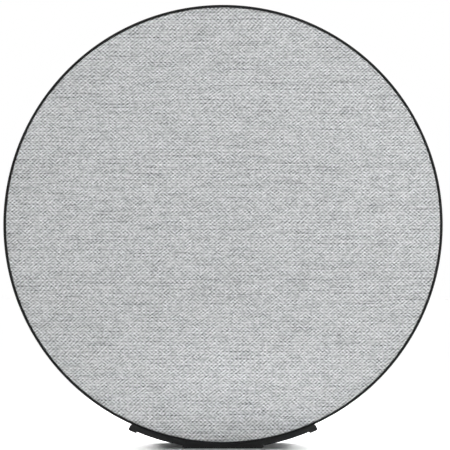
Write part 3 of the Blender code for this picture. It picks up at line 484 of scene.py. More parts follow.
def smooth(piece, sharp_angle=30.0):
    """Shade a piece smooth but for its sharp edges."""
    piece.data.shade_smooth()
    piece.data.set_sharp_from_angle(angle=math.radians(sharp_angle))


def combine(piece, operation, shapes):
    """Cut shapes from a piece, or join them to it, and leave it as one plain mesh."""
    tool = add_object("tool", gathered(shapes))
    modifier = piece.modifiers.new("combine", "BOOLEAN")
    modifier.operation = operation
    modifier.object = tool
    settle(piece)
    bpy.data.objects.remove(tool)
    smooth(piece)


def place(piece, body, slot, *replaced):
    """Let a piece ride on a body and stand for CAD nodes, which it hides; the slot it is given is not
    used.
    """
    even_shading(piece)
    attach(piece, body)
    if replaced:
        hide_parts(*replaced)
    return piece


# Materials ----------------------------

class Nodes:
    """A node tree and ways to add to it."""

    def __init__(self, tree):
        self.tree = tree

    def add(self, kind, values=None, **settings):
        """Add a node; its sockets, by name or place, take numbers or other sockets."""
        made = self.tree.nodes.new(kind)
        for key, value in settings.items():
            setattr(made, key, value)
        for key, value in (values or {}).items():
            self.put(value, made.inputs[key])
        return made

    def put(self, value, socket):
        """Give a socket a number, or link another socket to it."""
        if isinstance(value, bpy.types.NodeSocket):
            self.tree.links.new(value, socket)
        else:
            socket.default_value = value

    def spread(self, value, low, high, start=0.0, end=1.0, **settings):
        """Take a value from the range start to end, holding it within, to another range."""
        values = {"Value": value, "From Min": start, "From Max": end, "To Min": low, "To Max": high}
        return self.add("ShaderNodeMapRange", values, **settings).outputs["Result"]


class Surface(Nodes):
    """A Principled material."""

    def __init__(self, name, colour, roughness, metallic=0.0):
        self.name = name
        self.material = bpy.data.materials.new(name)
        self.material.use_nodes = True
        super().__init__(self.material.node_tree)
        self.shader = self.tree.nodes["Principled BSDF"]
        self.shade(Base_Color=(*colour, 1.0), Roughness=roughness, Metallic=metallic)
        self.position = self.add("ShaderNodeTexCoord").outputs["Object"]

    def math(self, operation, first, second=0.0, third=0.0):
        """Work a sum on numbers or sockets."""
        values = {0: first, 1: second, 2: third}
        return self.add("ShaderNodeMath", values, operation=operation).outputs[0]

    def placed(self, setting, value):
        """Position, with one setting of its mapping changed."""
        return self.add("ShaderNodeMapping", {"Vector": self.position, setting: value}).outputs[0]

    def noise(self, scale, detail=2.0, stretch=(1.0, 1.0, 1.0), roughness=0.5):
        """Noise about 0.5, with so many features per metre."""
        values = {"Vector": self.placed("Scale", stretch), "Scale": scale, "Detail": detail,
                  "Roughness": roughness}
        return self.add("ShaderNodeTexNoise", values).outputs["Fac"]

    def bands(self, axis, scale, distortion):
        """Bands that follow one another along an axis."""
        values = {"Vector": self.position, "Scale": scale, "Distortion": distortion, "Detail": 1.0}
        return self.add("ShaderNodeTexWave", values, bands_direction=axis).outputs["Fac"]

    def ramp(self, value, low_colour, high_colour):
        """A colour between two, as a value goes from 0 to 1."""
        values = {"Factor": value, 6: (*low_colour, 1.0), 7: (*high_colour, 1.0)}
        return self.add("ShaderNodeMix", values, data_type="RGBA").outputs[2]

    def tinted(self, colour, factor):
        """A colour multiplied by a number."""
        return self.add("ShaderNodeVectorMath", {0: colour, 3: factor}, operation="SCALE").outputs[0]

    def shade(self, **values):
        """Set the shader's own inputs, named with _ for each space."""
        for name, value in values.items():
            self.put(value, self.shader.inputs[name.replace("_", " ")])

    def bump(self, height, distance, strength=1.0):
        """Let a height stand up by so many millimetres."""
        values = {"Height": height, "Distance": distance * MM, "Strength": strength}
        self.shade(Normal=self.add("ShaderNodeBump", values).outputs["Normal"])


def grained(name, colour, roughness, metallic, grain, depth, stretch, contrast=0.12):
    """A material with a fine grain in its surface, and slow changes of tone and gloss across it."""
    look = Surface(name, colour, roughness, metallic)
    fine = look.noise(grain, 3.0, stretch, 0.6)
    slow = look.noise(35.0, 3.0)
    tone = look.math("ADD", look.spread(fine, 1 - contrast, 1 + contrast),
                     look.spread(slow, -contrast / 2, contrast / 2))
    gloss = look.math("ADD", look.spread(slow, roughness - WEAR, roughness + WEAR),
                      look.spread(fine, -WEAR / 2, WEAR / 2))
    look.shade(Base_Color=look.tinted(colour, tone), Roughness=gloss)
    look.bump(fine, depth)
    return look


def circuit_board():
    """Solder mask over copper: darker gaps between the tracks, which run across and up."""
    look = Surface("board_green", (0.02, 0.12, 0.06), 0.35)
    values = {"Vector": look.placed("Rotation", (math.radians(90.0), 0.0, 0.0)), "Scale": 260.0,
              "Mortar Size": 0.03, "Mortar Smooth": 0.3, "Brick Width": 0.9, "Row Height": 0.22}
    gaps = look.add("ShaderNodeTexBrick", values).outputs["Fac"]
    patches = look.spread(look.noise(120.0, 2.0), 0.75, 1.25)
    green = look.ramp(gaps, (0.018, 0.15, 0.07), (0.01, 0.07, 0.035))
    look.shade(Base_Color=look.tinted(green, patches),
               Roughness=look.spread(look.noise(900.0), 0.28, 0.42))
    look.bump(look.math("SUBTRACT", 1.0, gaps), 0.03)
    return look


def banded(name, colour, roughness, metallic, axes, waves, colours, gloss, relief):
    """A material of two colours in bands along an axis, or in the squares of bands along two."""
    look = Surface(name, colour, roughness, metallic)
    height = look.bands(axes[0], *waves)
    if len(axes) > 1:
        height = look.math("MULTIPLY", height, look.bands(axes[1], *waves))
    look.shade(Base_Color=look.ramp(height, *colours),
               Roughness=look.spread(look.noise(gloss[0]), *gloss[1:]))
    look.bump(height, relief)
    return look


def make_finishes():
    """One finish for each material slot, and gold for the sockets' contacts."""
    made = [cloth_surface(), circuit_board()]
    made += [banded(name, *values) for name, values in BANDED_FINISHES.items()]
    made += [grained(name, *values) for name, values in GRAINED_FINISHES.items()]
    ready = {look.name: look for look in made}
    for name, inputs in SPECIAL_INPUTS.items():
        ready[name].shade(**inputs)
    return {name: look.material for name, look in ready.items()}


WEAR = 0.06
EVEN = (1.0, 1.0, 1.0)
BRUSHED = (0.06, 1.0, 1.0)
# Colour, roughness, metallic, the bands' axes, their scale and distortion, their two colours, the
# gloss's noise and range, and the relief in millimetres
BANDED_FINISHES = {
    "coil_copper": ((0.72, 0.32, 0.15), 0.3, 1.0, "Y", (900.0, 0.6),
                    ((0.42, 0.16, 0.07), (0.8, 0.38, 0.19)), (1500.0, 0.22, 0.4), 0.05),
    "spider_cloth": ((0.55, 0.36, 0.14), 0.5, 0.0, "XZ", (420.0, 0.0),
                     ((0.34, 0.2, 0.07), (0.62, 0.42, 0.18)), (600.0, 0.4, 0.6), 0.08),
    "ribbon_film": ((0.7, 0.7, 0.68), 0.3, 0.0, "X", (330.0, 0.0),
                    ((0.78, 0.78, 0.75), (0.5, 0.49, 0.46)), (700.0, 0.22, 0.4), 0.04),
}
# Colour, roughness, metallic, grains per metre, the grain's depth in millimetres, how it is
# stretched, and its contrast where that isn't the usual one
GRAINED_FINISHES = {
    "shell_plastic": ((0.008, 0.0083, 0.0085), 0.45, 0.0, 2600.0, 0.035, EVEN),
    "stand_metal": ((0.0045, 0.0048, 0.005), 0.6, 0.0, 1500.0, 0.03, EVEN, 0.15),
    "light_acrylic": ((0.85, 0.86, 0.86), 0.12, 0.0, 1800.0, 0.006, EVEN, 0.03),
    "inner_plastic": ((0.04, 0.04, 0.042), 0.55, 0.0, 2400.0, 0.03, EVEN),
    "control_plastic": ((0.016, 0.0165, 0.017), 0.38, 0.0, 5200.0, 0.01, EVEN),
    "sole_rubber": ((0.015, 0.015, 0.015), 0.75, 0.0, 3000.0, 0.03, EVEN),
    "foam": ((0.03, 0.03, 0.03), 0.95, 0.0, 1500.0, 0.2, EVEN),
    "basket_steel": ((0.12, 0.12, 0.13), 0.4, 0.0, 1300.0, 0.03, EVEN),
    "plated_steel": ((0.62, 0.62, 0.63), 0.3, 1.0, 3000.0, 0.008, BRUSHED),
    "ferrite": ((0.05, 0.05, 0.055), 0.65, 0.0, 4000.0, 0.04, EVEN),
    "cone_paper": ((0.035, 0.035, 0.035), 0.85, 0.0, 900.0, 0.06, (1.0, 1.0, 0.3)),
    "surround_rubber": ((0.02, 0.02, 0.02), 0.5, 0.0, 2600.0, 0.015, EVEN),
    "chip_black": ((0.02, 0.02, 0.02), 0.5, 0.0, 4200.0, 0.015, EVEN),
    "shield_tin": ((0.6, 0.6, 0.58), 0.32, 1.0, 2600.0, 0.01, (1.0, 1.0, 0.08)),
    "heat_aluminium": ((0.75, 0.76, 0.77), 0.35, 1.0, 2800.0, 0.01, (1.0, 1.0, 0.06)),
    "thermal_silicone": ((0.35, 0.42, 0.55), 0.7, 0.0, 1800.0, 0.05, EVEN),
    "screw_steel": ((0.1, 0.1, 0.11), 0.35, 1.0, 3600.0, 0.008, EVEN),
    "lead_jacket": ((0.3, 0.02, 0.02), 0.35, 0.0, 2200.0, 0.015, EVEN),
    "gold": ((0.83, 0.62, 0.28), 0.22, 1.0, 3000.0, 0.005, BRUSHED),
}
SPECIAL_INPUTS = {"shell_plastic": {"Specular_IOR_Level": 0.18},
                  "stand_metal": {"Specular_IOR_Level": 0.25},
                  "light_acrylic": {"Transmission_Weight": 0.85, "IOR": 1.49}}


def dress_cad_nodes():
    """Give every CAD node its slot's finish, in case it stays in view."""
    for part in frame["record"]["subparts"]:
        mesh = frame["nodes"][part["node"]].data
        mesh.materials.clear()
        mesh.materials.append(finishes[part["material_slot"]])


def row_noise(look, x, row, features):
    """Noise with so many features per metre along each row of yarn, different from row to row."""
    at = {0: look.math("MULTIPLY", x, features), 1: look.math("MULTIPLY", row, ROW_STRIDE)}
    values = {"Vector": look.add("ShaderNodeCombineXYZ", at).outputs[0], "Scale": 1.0, "Detail": 1.0}
    return look.add("ShaderNodeTexNoise", values).outputs["Fac"]


def phase(look, coordinate, repeat, shift):
    """How far a weave of a repeat in millimetres has turned, in radians."""
    return look.math("MULTIPLY_ADD", coordinate, math.tau / (repeat * MM), shift)


def side_of(look, turned_by):
    """The number of the half repeat that a phase has come to."""
    return look.math("FLOOR", look.math("DIVIDE", turned_by, math.pi))


def cloth_surface():
    """Light grey melange cloth. The mesh says how strongly its floats show along each diagonal, and
    how far the weave is shifted across and up."""
    look = Surface("cloth", CLOTH_COLOUR, 0.9)
    rise, fall, across, up = [look.add("ShaderNodeAttribute", attribute_name=name).outputs["Fac"]
                              for name in ("rise", "fall", "across", "up")]
    point = look.add("ShaderNodeSeparateXYZ", {0: look.position})
    x = point.outputs["X"]
    z = point.outputs["Z"]
    x_phase = phase(look, x, REPEAT_ACROSS, across)
    z_phase = phase(look, z, REPEAT_UP, up)
    rising = look.math("COSINE", look.math("ADD", x_phase, z_phase))
    falling = look.math("COSINE", look.math("SUBTRACT", x_phase, z_phase))
    weave = look.math("MULTIPLY_ADD", rising, rise, look.math("MULTIPLY", falling, fall))
    row = side_of(look, z_phase)
    cell = look.add("ShaderNodeCombineXYZ", {0: side_of(look, x_phase), 1: row}).outputs[0]
    floats = look.add("ShaderNodeTexWhiteNoise", {"Vector": cell}, noise_dimensions="2D")
    slubs = row_noise(look, x, row, SLUBS_PER_METRE)
    yarn_phase = phase(look, z, YARN_PITCH, up)
    streaks = row_noise(look, x, side_of(look, yarn_phase), STREAKS_PER_METRE)
    fibres = look.noise(FIBRES_PER_METRE, 2.0, (0.35, 1.0, 1.0), 0.6)
    # Painted shade: the weave's relief darkens the colour in the gaps between the yarns and lightens
    # their tops
    tone = look.math("MULTIPLY_ADD", weave, WEAVE_PAINTED_SHADE, 1.0)
    tone = look.math("MULTIPLY_ADD", look.math("COSINE", z_phase),
                     look.spread(slubs, -ROW_TONE, 3 * ROW_TONE), tone)
    tone = look.math("MULTIPLY_ADD", look.math("COSINE", yarn_phase), YARN_TONE, tone)
    tone = look.math("ADD", tone, look.spread(streaks, STREAK_LIFT, STREAK_LIFT - STREAK_TONE,
                                              *STREAK_RANGE))
    for value, strength in ((floats.outputs["Value"], FLOAT_TONE), (slubs, SLUB_TONE),
                            (fibres, FIBRE_TONE)):
        tone = look.math("ADD", tone, look.spread(value, -strength, strength))
    look.shade(Base_Color=look.tinted(CLOTH_COLOUR, tone), Sheen_Weight=0.2,
               Sheen_Roughness=0.5, Specular_IOR_Level=0.15)
    look.bump(look.math("MULTIPLY_ADD", fibres, FIBRE_RELIEF, weave), 0.05, 0.6)
    return look


# The cloth front ----------------------

def wander(x, z, strength, patch, place_at):
    """Slow, smooth noise over the cloth, from minus to plus its strength."""
    return strength * np.array([noise.noise(Vector((px / patch[0] + place_at, pz / patch[1], place_at)))
                                for px, pz in zip(x, z)])


def cloth_grid():
    """A lattice over the front, a few points to each repeat, with its rim pulled to a circle."""
    radius = CLOTH_RADIUS - CLOTH_EDGE_ROUND
    step_x = REPEAT_ACROSS / SAMPLES_PER_REPEAT
    step_z = REPEAT_UP / SAMPLES_PER_REPEAT
    columns = int(radius / step_x) + 2
    rows = int(radius / step_z) + 2
    x, z = np.meshgrid(np.arange(-columns, columns + 1) * step_x,
                       np.arange(-rows, rows + 1) * step_z)
    inside = np.hypot(x, z) < radius - step_z / 4
    index = np.arange(x.size).reshape(x.shape)
    corners = np.stack([index[:-1, :-1], index[:-1, 1:], index[1:, 1:], index[1:, :-1]], -1)
    corners = corners.reshape(-1, 4)
    kept = corners[inside.ravel()[corners].any(1)]
    used = np.unique(kept)
    renumber = np.full(x.size, -1)
    renumber[used] = np.arange(len(used))
    x, z = x.ravel()[used], z.ravel()[used]
    outside = ~inside.ravel()[used]
    pull = radius / np.hypot(x[outside], z[outside])
    x[outside] *= pull
    z[outside] *= pull
    return x, z, outside, renumber[kept]


def make_cloth():
    """The stretched cloth, with the relief of its weave and its edge turned back inside the rim."""
    x, z, on_rim, faces = cloth_grid()
    rise = np.clip(RISE_MEAN + wander(x, z, *RISE_WANDER), 0.0, 1.0)
    fall = np.clip(FALL_MEAN + wander(x, z, *FALL_WANDER), 0.0, 1.0)
    across = sum(wander(x, z, *values) for values in ACROSS_WANDERS)
    up = sum(wander(x, z, *values) for values in UP_WANDERS)
    x_phase = math.tau * x / REPEAT_ACROSS + across
    z_phase = math.tau * (z + CENTRE_HEIGHT) / REPEAT_UP + up
    weave = rise * np.cos(x_phase + z_phase) + fall * np.cos(x_phase - z_phase)
    y = np.where(on_rim, CLOTH_FRONT + RELIEF, CLOTH_FRONT + RELIEF * (1 - weave))
    rim = np.flatnonzero(on_rim)
    rim = rim[np.argsort(np.arctan2(z[rim], x[rim]))]
    depth = CLOTH_BACK - CLOTH_FRONT
    edge = [(CLOTH_EDGE_ROUND - inset, drop) for inset, drop in fillet(CLOTH_EDGE_ROUND, 3)[-2::-1]]
    edge += [(CLOTH_EDGE_ROUND, depth * CLOTH_EDGE_SHARE), (CLOTH_EDGE_ROUND, depth)]
    points = [np.stack([x, y, z], 1)]
    quads = [faces]
    before = rim
    count = len(x)
    flat_radius = CLOTH_RADIUS - CLOTH_EDGE_ROUND
    for outwards, drop in edge:
        grow = (flat_radius + outwards) / flat_radius
        level = np.full(len(rim), CLOTH_FRONT + drop)
        points.append(np.stack([x[rim] * grow, level, z[rim] * grow], 1))
        now = count + np.arange(len(rim))
        quads.append(np.stack([before, now, np.roll(now, -1), np.roll(before, -1)], 1))
        before = now
        count += len(rim)
    mesh = bpy.data.meshes.new("front_cloth")
    places = (np.concatenate(points) + np.array([0.0, 0.0, CENTRE_HEIGHT])) * MM
    mesh.from_pydata(places.tolist(), [], np.concatenate(quads).tolist())
    for name, values in (("rise", rise), ("fall", fall), ("across", across), ("up", up)):
        layer = mesh.attributes.new(name, "FLOAT", "POINT")
        everywhere = np.concatenate([values] + [values[rim]] * len(edge))
        layer.data.foreach_set("value", everywhere.astype(np.float32))
    mesh.materials.append(finishes["cloth"])
    mesh.shade_smooth()
    cloth = linked(bpy.data.objects.new("front_cloth", mesh))
    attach(cloth, "hub")
    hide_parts("front_fabric")


# The shell ----------------------------

def shell_outline():
    """From the middle of the back, round the outside to the rim, and back along the inside."""
    shoulder = (HUB_RADIUS - SHOULDER_WIDTH, BACK - SHOULDER_DEPTH)
    outside = arc(shoulder, (SHOULDER_WIDTH, SHOULDER_DEPTH), 90.0, 0.0, 28)
    half = SEAM_WIDTH / 2
    seam = [(HUB_RADIUS - depth, SEAM_PLACE + offset)
            for depth, offset in ((0.0, half + SEAM_EASE), (SEAM_EASE, half), (SEAM_DEPTH, half / 2),
                                  (SEAM_DEPTH, 0.0), (SEAM_EASE, -half), (0.0, -half - SEAM_EASE))]
    rim = round_arc(RIM_ROUND, 0.0, -90.0, 4, (HUB_RADIUS - RIM_ROUND, FRONT + RIM_ROUND))
    lip_centre = (HUB_RADIUS - RIM_LIP + LIP_ROUND, FRONT + LIP_ROUND)
    lip = round_arc(LIP_ROUND, -90.0, -180.0, 3, lip_centre)
    step = [(HUB_RADIUS - RIM_LIP, FRONT + RIM_DEPTH), (HUB_RADIUS - WALL, FRONT + RIM_DEPTH)]
    inside = arc(shoulder, (SHOULDER_WIDTH - WALL, SHOULDER_DEPTH - WALL), 0.0, 90.0, 20)
    return [(0.0, BACK)] + outside + seam + rim + lip + step + inside + [(0.0, INNER_BACK)]


def screw_bosses():
    """The bosses in the shell, one for each screw that goes into it, and their bores."""
    bosses = []
    bores = []
    for stem, count, radius, start, end, bore_end in BOSSES:
        for number in range(1, count + 1):
            at = middle_of(f"{stem}_{number}")
            bosses.append(straight(circle(radius, (at.x, at.z)), start, end))
            bores.append(straight(circle(BORE, (at.x, at.z), 32), start - PAST, bore_end))
    for angle in STAND_SCREW_ANGLES:
        bosses.append(radial(straight(circle(STAND_BOSS), *STAND_BOSS_ENDS), angle))
        bore = straight(circle(CLEARANCE_BORE), STAND_BOSS_ENDS[0] - PAST, HUB_RADIUS + PAST)
        bores.append(radial(bore, angle))
    return bosses, bores


def rocker_saddles():
    """The posts that hold the rocker's trunnions, and the grooves in them, open to the front."""
    centre = middle_of("volume_rocker")
    radius = TRUNNION_RADIUS + TRUNNION_PLAY
    groove = round_arc(radius, 180.0, 360.0, 12) + [(radius, SADDLE_MOUTH), (-radius, SADDLE_MOUTH)]
    posts = []
    grooves = []
    for side in (-1, 1):
        level = centre.z + side * SADDLE_OFFSET
        post = rounded_box(*SADDLE_SIZE, (centre.x, level), 4)
        posts.append(straight(post, SADDLE_FRONT, ROOT_DEPTH))
        cutter = straight(groove, -SADDLE_SIZE[1], SADDLE_SIZE[1])
        grooves.append(moved(cutter, (centre.x, ROCKER_AXIS_DEPTH, level), 90.0))
    return posts, grooves


def recess_box(grow=0.0):
    """The outline of the socket recess, or of the walls round it."""
    return growing_box(*RECESS_SIZE, RECESS_CORNER, (0.0, middle_of("ethernet_jack").z))(grow)


def key_hole(key, centre):
    """The growing outline of a round key's hole."""
    return lambda grow: circle(key.radius + KEY_GAP + grow, centre)


def shell_cutters():
    """The vents, the socket recess, and the holes for the controls."""
    vent = growing_slot(*VENT_SIZE, HOLE_STRAIGHT, (VENT_RADIUS, 0.0), 6)
    vents = [moved(flared_cutter(vent, OPENING_START, BACK, OPENING_ROUND), (0, 0, 0), -angle, "Y")
             for angle in VENT_ANGLES]
    recess = flared_cutter(recess_box, size_of("ethernet_jack")[1].y + RECESS_FLOOR, BACK,
                           RECESS_ROUND)
    holes = []
    for name, key in KEYS.items():
        centre = middle_of(name)
        holes.append(key_hole(key, (centre.x, centre.z)))
    rocker = middle_of("volume_rocker")
    length, height = ROCKER_SIZE
    holes.append(growing_slot(length + 2 * KEY_GAP, height + 2 * KEY_GAP, HOLE_STRAIGHT,
                              (rocker.x, rocker.z), 12))
    slider = middle_of("mute_slider")
    holes.append(growing_box(*SLIDER_SLOT, (slider.x + SLIDER_TRAVEL / 2, slider.z)))
    return vents + [recess] + [flared_cutter(hole, OPENING_START, BACK, OPENING_ROUND)
                               for hole in holes]


def socket_windows():
    """The windows that the sockets look out of, in the recess's floor."""
    windows = []
    for name, corner in WINDOW_CORNERS.items():
        low, high = size_of(name)
        centre = (low + high) / 2
        outline = rounded_box(high.x - low.x + 2 * SOCKET_GAP, high.z - low.z + 2 * SOCKET_GAP,
                              corner, (centre.x, centre.z))
        windows.append(straight(outline, WINDOW_START, high.y + PAST))
    return windows


def make_shell():
    """The moulded shell, with its bosses and saddles inside and its openings at the back."""
    bosses, bores = screw_bosses()
    posts, grooves = rocker_saddles()
    recess_start = size_of("ethernet_jack")[1].y + RECESS_WALL_START
    recess = straight(recess_box(WALL), recess_start, ROOT_DEPTH)
    shell = add_object("shell", turned(shell_outline(), SHELL_SEGMENTS), "shell_plastic")
    combine(shell, "UNION", bosses + posts + [recess])
    combine(shell, "DIFFERENCE", bores + grooves + shell_cutters())
    combine(shell, "DIFFERENCE", socket_windows())
    place(shell, "hub", "shell_plastic", "rear_housing")


# The stand ----------------------------

def cradle_outline():
    """The band, with a lip at each end and a flat foot under its middle, its corners eased."""
    start = DOWN - BAND_HALF_ANGLE
    end = DOWN + BAND_HALF_ANGLE
    lip_end = DOWN + LIP_ANGLE
    foot_end = DOWN + math.degrees(math.asin(FOOT_HALF_WIDTH / BAND_OUTER))
    band = round_arc(BAND_INNER, start + BAND_EASE_ANGLE, end - BAND_EASE_ANGLE, 96)
    right = [polar(BAND_INNER + BAND_CORNER, end), polar(LIP_RADIUS - BAND_CORNER, end)]
    right += round_arc(LIP_RADIUS, end - BAND_EASE_ANGLE, lip_end + BAND_EASE_ANGLE, 4)
    right += [polar(LIP_RADIUS - LIP_DROP, lip_end)]
    right += round_arc(BAND_OUTER, lip_end - LIP_SIDE_ANGLE, foot_end, 24)
    right += [(FOOT_HALF_WIDTH - inset, FOOT_LEVEL + rise) for inset, rise in FOOT_CORNER]
    return band + mirrored(right)


def shrunk(outline, inset):
    """An outline moved inwards all round."""
    result = []
    for index, point in enumerate(outline):
        after = Vector(outline[(index + 1) % len(outline)])
        along = (after - Vector(outline[index - 1])).normalized()
        result.append(tuple(Vector(point) + Vector((-along.y, along.x)) * inset))
    return result


def make_cradle():
    """The band that the disc stands in, with its screws' countersinks."""
    low, high = size_of("stand_cradle")
    outline = cradle_outline()
    ends = [(drop, shrunk(outline, inset)) for inset, drop in fillet(BAND_ROUND, 3)]
    levels = [(low.y + drop, ring) for drop, ring in reversed(ends)]
    levels += [(high.y - drop, ring) for drop, ring in ends]
    cradle = add_object("cradle", lofted(levels), "stand_metal", 40.0)
    sinks = [radial(turned(COUNTERSINK, 48), angle) for angle in STAND_SCREW_ANGLES]
    combine(cradle, "DIFFERENCE", sinks)
    place(cradle, "hub", "stand_metal", "stand_cradle")


def make_stand_screws():
    """Two countersunk screws, each with a cross recess."""
    for number, angle in enumerate(STAND_SCREW_ANGLES, 1):
        shape = radial(turned(STAND_SCREW, 40), angle)
        screw = add_object(f"cradle_screw_{number}", shape, "screw_steel")
        for length, width in (CROSS_SIZE, CROSS_SIZE[::-1]):
            bottom = rounded_box(length * CROSS_TAPER[0], width * CROSS_TAPER[1], CROSS_CORNERS[0],
                                 steps=2)
            top = rounded_box(length, width, CROSS_CORNERS[1], steps=2)
            arm = lofted([(HEAD_TOP - CROSS_DEPTH, bottom), (HEAD_TOP + CROSS_PAST, top)])
            combine(screw, "DIFFERENCE", [radial(arm, angle)])
        place(screw, "hub", "screw_steel", f"stand_screw_{number}")


def make_sole():
    """The rubber pad, with soft edges and fine grooves across it."""
    low, high = size_of("stand_sole")
    width, depth, thickness = high - low
    pad = rounded_block(growing_box(width, depth, SOLE_CORNER), 0.0, thickness, SOLE_ROUND)
    sole = add_object("sole", moved(pad, (0, 0, high.z), -90.0), "sole_rubber")
    grooves = []
    for index in range(SOLE_GROOVES):
        y = (low.y + high.y) / 2 + (index - SOLE_GROOVES // 2) * SOLE_GROOVE_PITCH
        outline = rounded_box(width - 2 * SOLE_GROOVE_INSET, *SOLE_GROOVE_SIZE, steps=2)
        grooves.append(moved(straight(outline, *SOLE_GROOVE_ENDS), (0, y, low.z), 90.0))
    combine(sole, "DIFFERENCE", grooves)
    place(sole, "hub", "sole_rubber", "stand_sole")


# The controls -------------------------

def key_outline(key):
    """A round key's profile: a dished top, an eased edge, the flange that keeps it in, and its stem."""
    bowl = key.radius - key.edge - DISH_INSET
    outline = [(bowl * share, key.top - key.dish * (1 - share * share))
               for share in np.linspace(0.0, 1.0, 8)]
    outline += round_arc(key.edge, 80.0, 0.0, 6, (key.radius - key.edge, key.top - key.edge))
    front, back = KEY_FLANGE_ENDS
    return outline + [(key.radius, back), (key.flange, back), (key.flange, front),
                      (key.stem, front), (key.stem, key.stem_end), (0.0, key.stem_end)]


def make_buttons():
    """The two round keys."""
    for node, key in KEYS.items():
        centre = middle_of(node)
        shape = moved(turned(key_outline(key), 72), (centre.x, 0, centre.z))
        cap = add_object(node.replace("button", "cap"), shape, "control_plastic")
        place(cap, key.body, "control_plastic", node)


def pin(radius, low, high):
    """A round pin with eased ends."""
    return turned([(0.0, low), (radius - PIN_EASE, low), (radius, low + PIN_EASE),
                   (radius, high - PIN_EASE), (radius - PIN_EASE, high), (0.0, high)], 32)


def make_rocker():
    """A long cap with soft edges and a finger dimple over each switch."""
    low, high = size_of("volume_rocker")
    centre = (low + high) / 2
    outline = growing_slot(high.x - low.x, ROCKER_SIZE[1], CAP_STRAIGHT, (centre.x, centre.z), 14)
    cap = rounded_block(outline, ROCKER_AXIS_DEPTH, high.y, *ROCKER_ROUNDS)
    rocker = add_object("rocker_cap", cap, "control_plastic")
    trunnion = pin(TRUNNION_RADIUS, -TRUNNION_HALF_LENGTH, TRUNNION_HALF_LENGTH)
    joined = [moved(trunnion, (centre.x, ROCKER_AXIS_DEPTH, centre.z), 90.0)]
    dimples = []
    for side in (-1, 1):
        x = centre.x + ROCKER_STEM_OFFSET * side
        joined.append(moved(pin(*ROCKER_STEM), (x, 0, centre.z)))
        bowl = bmesh.new()
        bmesh.ops.create_uvsphere(bowl, u_segments=96, v_segments=64, radius=DIMPLE_SPHERE)
        dimples.append(moved(bowl, (x, high.y + DIMPLE_SPHERE - DIMPLE_DEPTH, centre.z), 90.0))
    combine(rocker, "UNION", joined)
    combine(rocker, "DIFFERENCE", dimples)
    place(rocker, "volume_key", "control_plastic", "volume_rocker")


def make_slider():
    """A ribbed knob on the flange that covers its slot."""
    low, high = size_of("mute_slider")
    centre = (low + high) / 2
    at = (centre.x, centre.z)
    flange = rounded_block(growing_box(*SLIDER_FLANGE, at), *SLIDER_FLANGE_ENDS, SLIDER_FLANGE_ROUND)
    slider = add_object("slider_knob", flange, "control_plastic")
    knob = rounded_block(growing_box(*SLIDER_KNOB, at), SLIDER_KNOB_START, high.y, SLIDER_KNOB_ROUND)
    combine(slider, "UNION", [knob])
    combine(slider, "UNION", [straight(rounded_box(*SLIDER_PEG, at, 2), low.y, SLIDER_PEG_END)])
    grooves = []
    for index in range(GRIP_GROOVES):
        offset = (index - GRIP_GROOVES // 2) * GRIP_PITCH
        groove = straight(circle(GRIP_RADIUS, segments=20), -GRIP_HALF_LENGTH, GRIP_HALF_LENGTH)
        grooves.append(moved(groove, (centre.x + offset, high.y, centre.z), 90.0))
    combine(slider, "DIFFERENCE", grooves)
    place(slider, "mute_key", "control_plastic", "mute_slider")


# The sockets --------------------------

def make_jack():
    """The network jack: a moulded housing with a stepped mouth and eight sprung contacts."""
    low, high = size_of("ethernet_jack")
    centre = (low + high) / 2
    outline = growing_box(high.x - low.x, high.z - low.z, JACK_CORNER, (centre.x, centre.z), 4)
    body = rounded_block(outline, low.y, high.y, JACK_ROUND)
    jack = add_object("network_jack", body, "chip_black")

    def mouth(grow):
        """The mouth's outline, moved outwards."""
        return [(centre.x + x + math.copysign(grow, x), centre.z + z + math.copysign(grow, z))
                for x, z in mirrored(MOUTH_HALF)]

    combine(jack, "DIFFERENCE", [flared_cutter(mouth, high.y - MOUTH_DEPTH, high.y, OPENING_ROUND)])
    place(jack, "hub", "chip_black", "ethernet_jack")
    wires = []
    for index in range(JACK_CONTACTS):
        x = centre.x + (index - (JACK_CONTACTS - 1) / 2) * JACK_CONTACT_PITCH
        wire = straight(JACK_CONTACT, -JACK_CONTACT_HALF_WIDTH, JACK_CONTACT_HALF_WIDTH)
        wires.append(moved(wire, (x, high.y, centre.z), -90.0, "Z"))
    contacts = add_object("network_contacts", gathered(wires), "gold")
    place(contacts, "hub", "plated_steel")


def make_usb_socket():
    """The power socket: a drawn metal shell round a tongue with contact pads on both faces."""
    low, high = size_of("usb_c_socket")
    centre = (low + high) / 2
    width, height = high.x - low.x, high.z - low.z
    at = (centre.x, centre.z)
    shell = rounded_block(growing_slot(width, height, CAP_STRAIGHT, at, 12), low.y, high.y,
                          SOCKET_ROUND)
    socket = add_object("power_socket", shell, "shield_tin")
    mouth = growing_slot(width - 2 * SOCKET_WALL, height - 2 * SOCKET_WALL, CAP_STRAIGHT, at, 12)
    cutter = flared_cutter(mouth, high.y - SOCKET_DEPTH, high.y, SOCKET_ROUND)
    combine(socket, "DIFFERENCE", [cutter])
    place(socket, "hub", "shield_tin", "usb_c_socket")
    start, end = TONGUE_ENDS
    tongue = rounded_block(growing_box(*TONGUE_SIZE, at, 3), high.y + start, high.y + end,
                           SOCKET_ROUND)
    core = add_object("power_tongue", tongue, "chip_black")
    place(core, "hub", "chip_black")
    pads = []
    start, end = PAD_ENDS
    for side in (-1, 1):
        for index in range(PADS):
            x = centre.x + (index - (PADS - 1) / 2) * PAD_PITCH
            pad = rounded_box(*PAD_SIZE, (x, centre.z + side * PAD_OFFSET), 2)
            pads.append(straight(pad, high.y + start, high.y + end))
    contacts = add_object("power_contacts", gathered(pads), "gold")
    place(contacts, "hub", "plated_steel")


# The loudspeaker's moving pieces ------

def speaker_piece(node, outline, body, slot):
    """A piece turned about the speaker's axis, in place of its CAD node."""
    axis = middle_of(node)
    shape = moved(turned(outline, 144), (axis.x, 0, axis.z))
    return place(add_object(f"fine_{node}", shape, slot), body, slot, node)


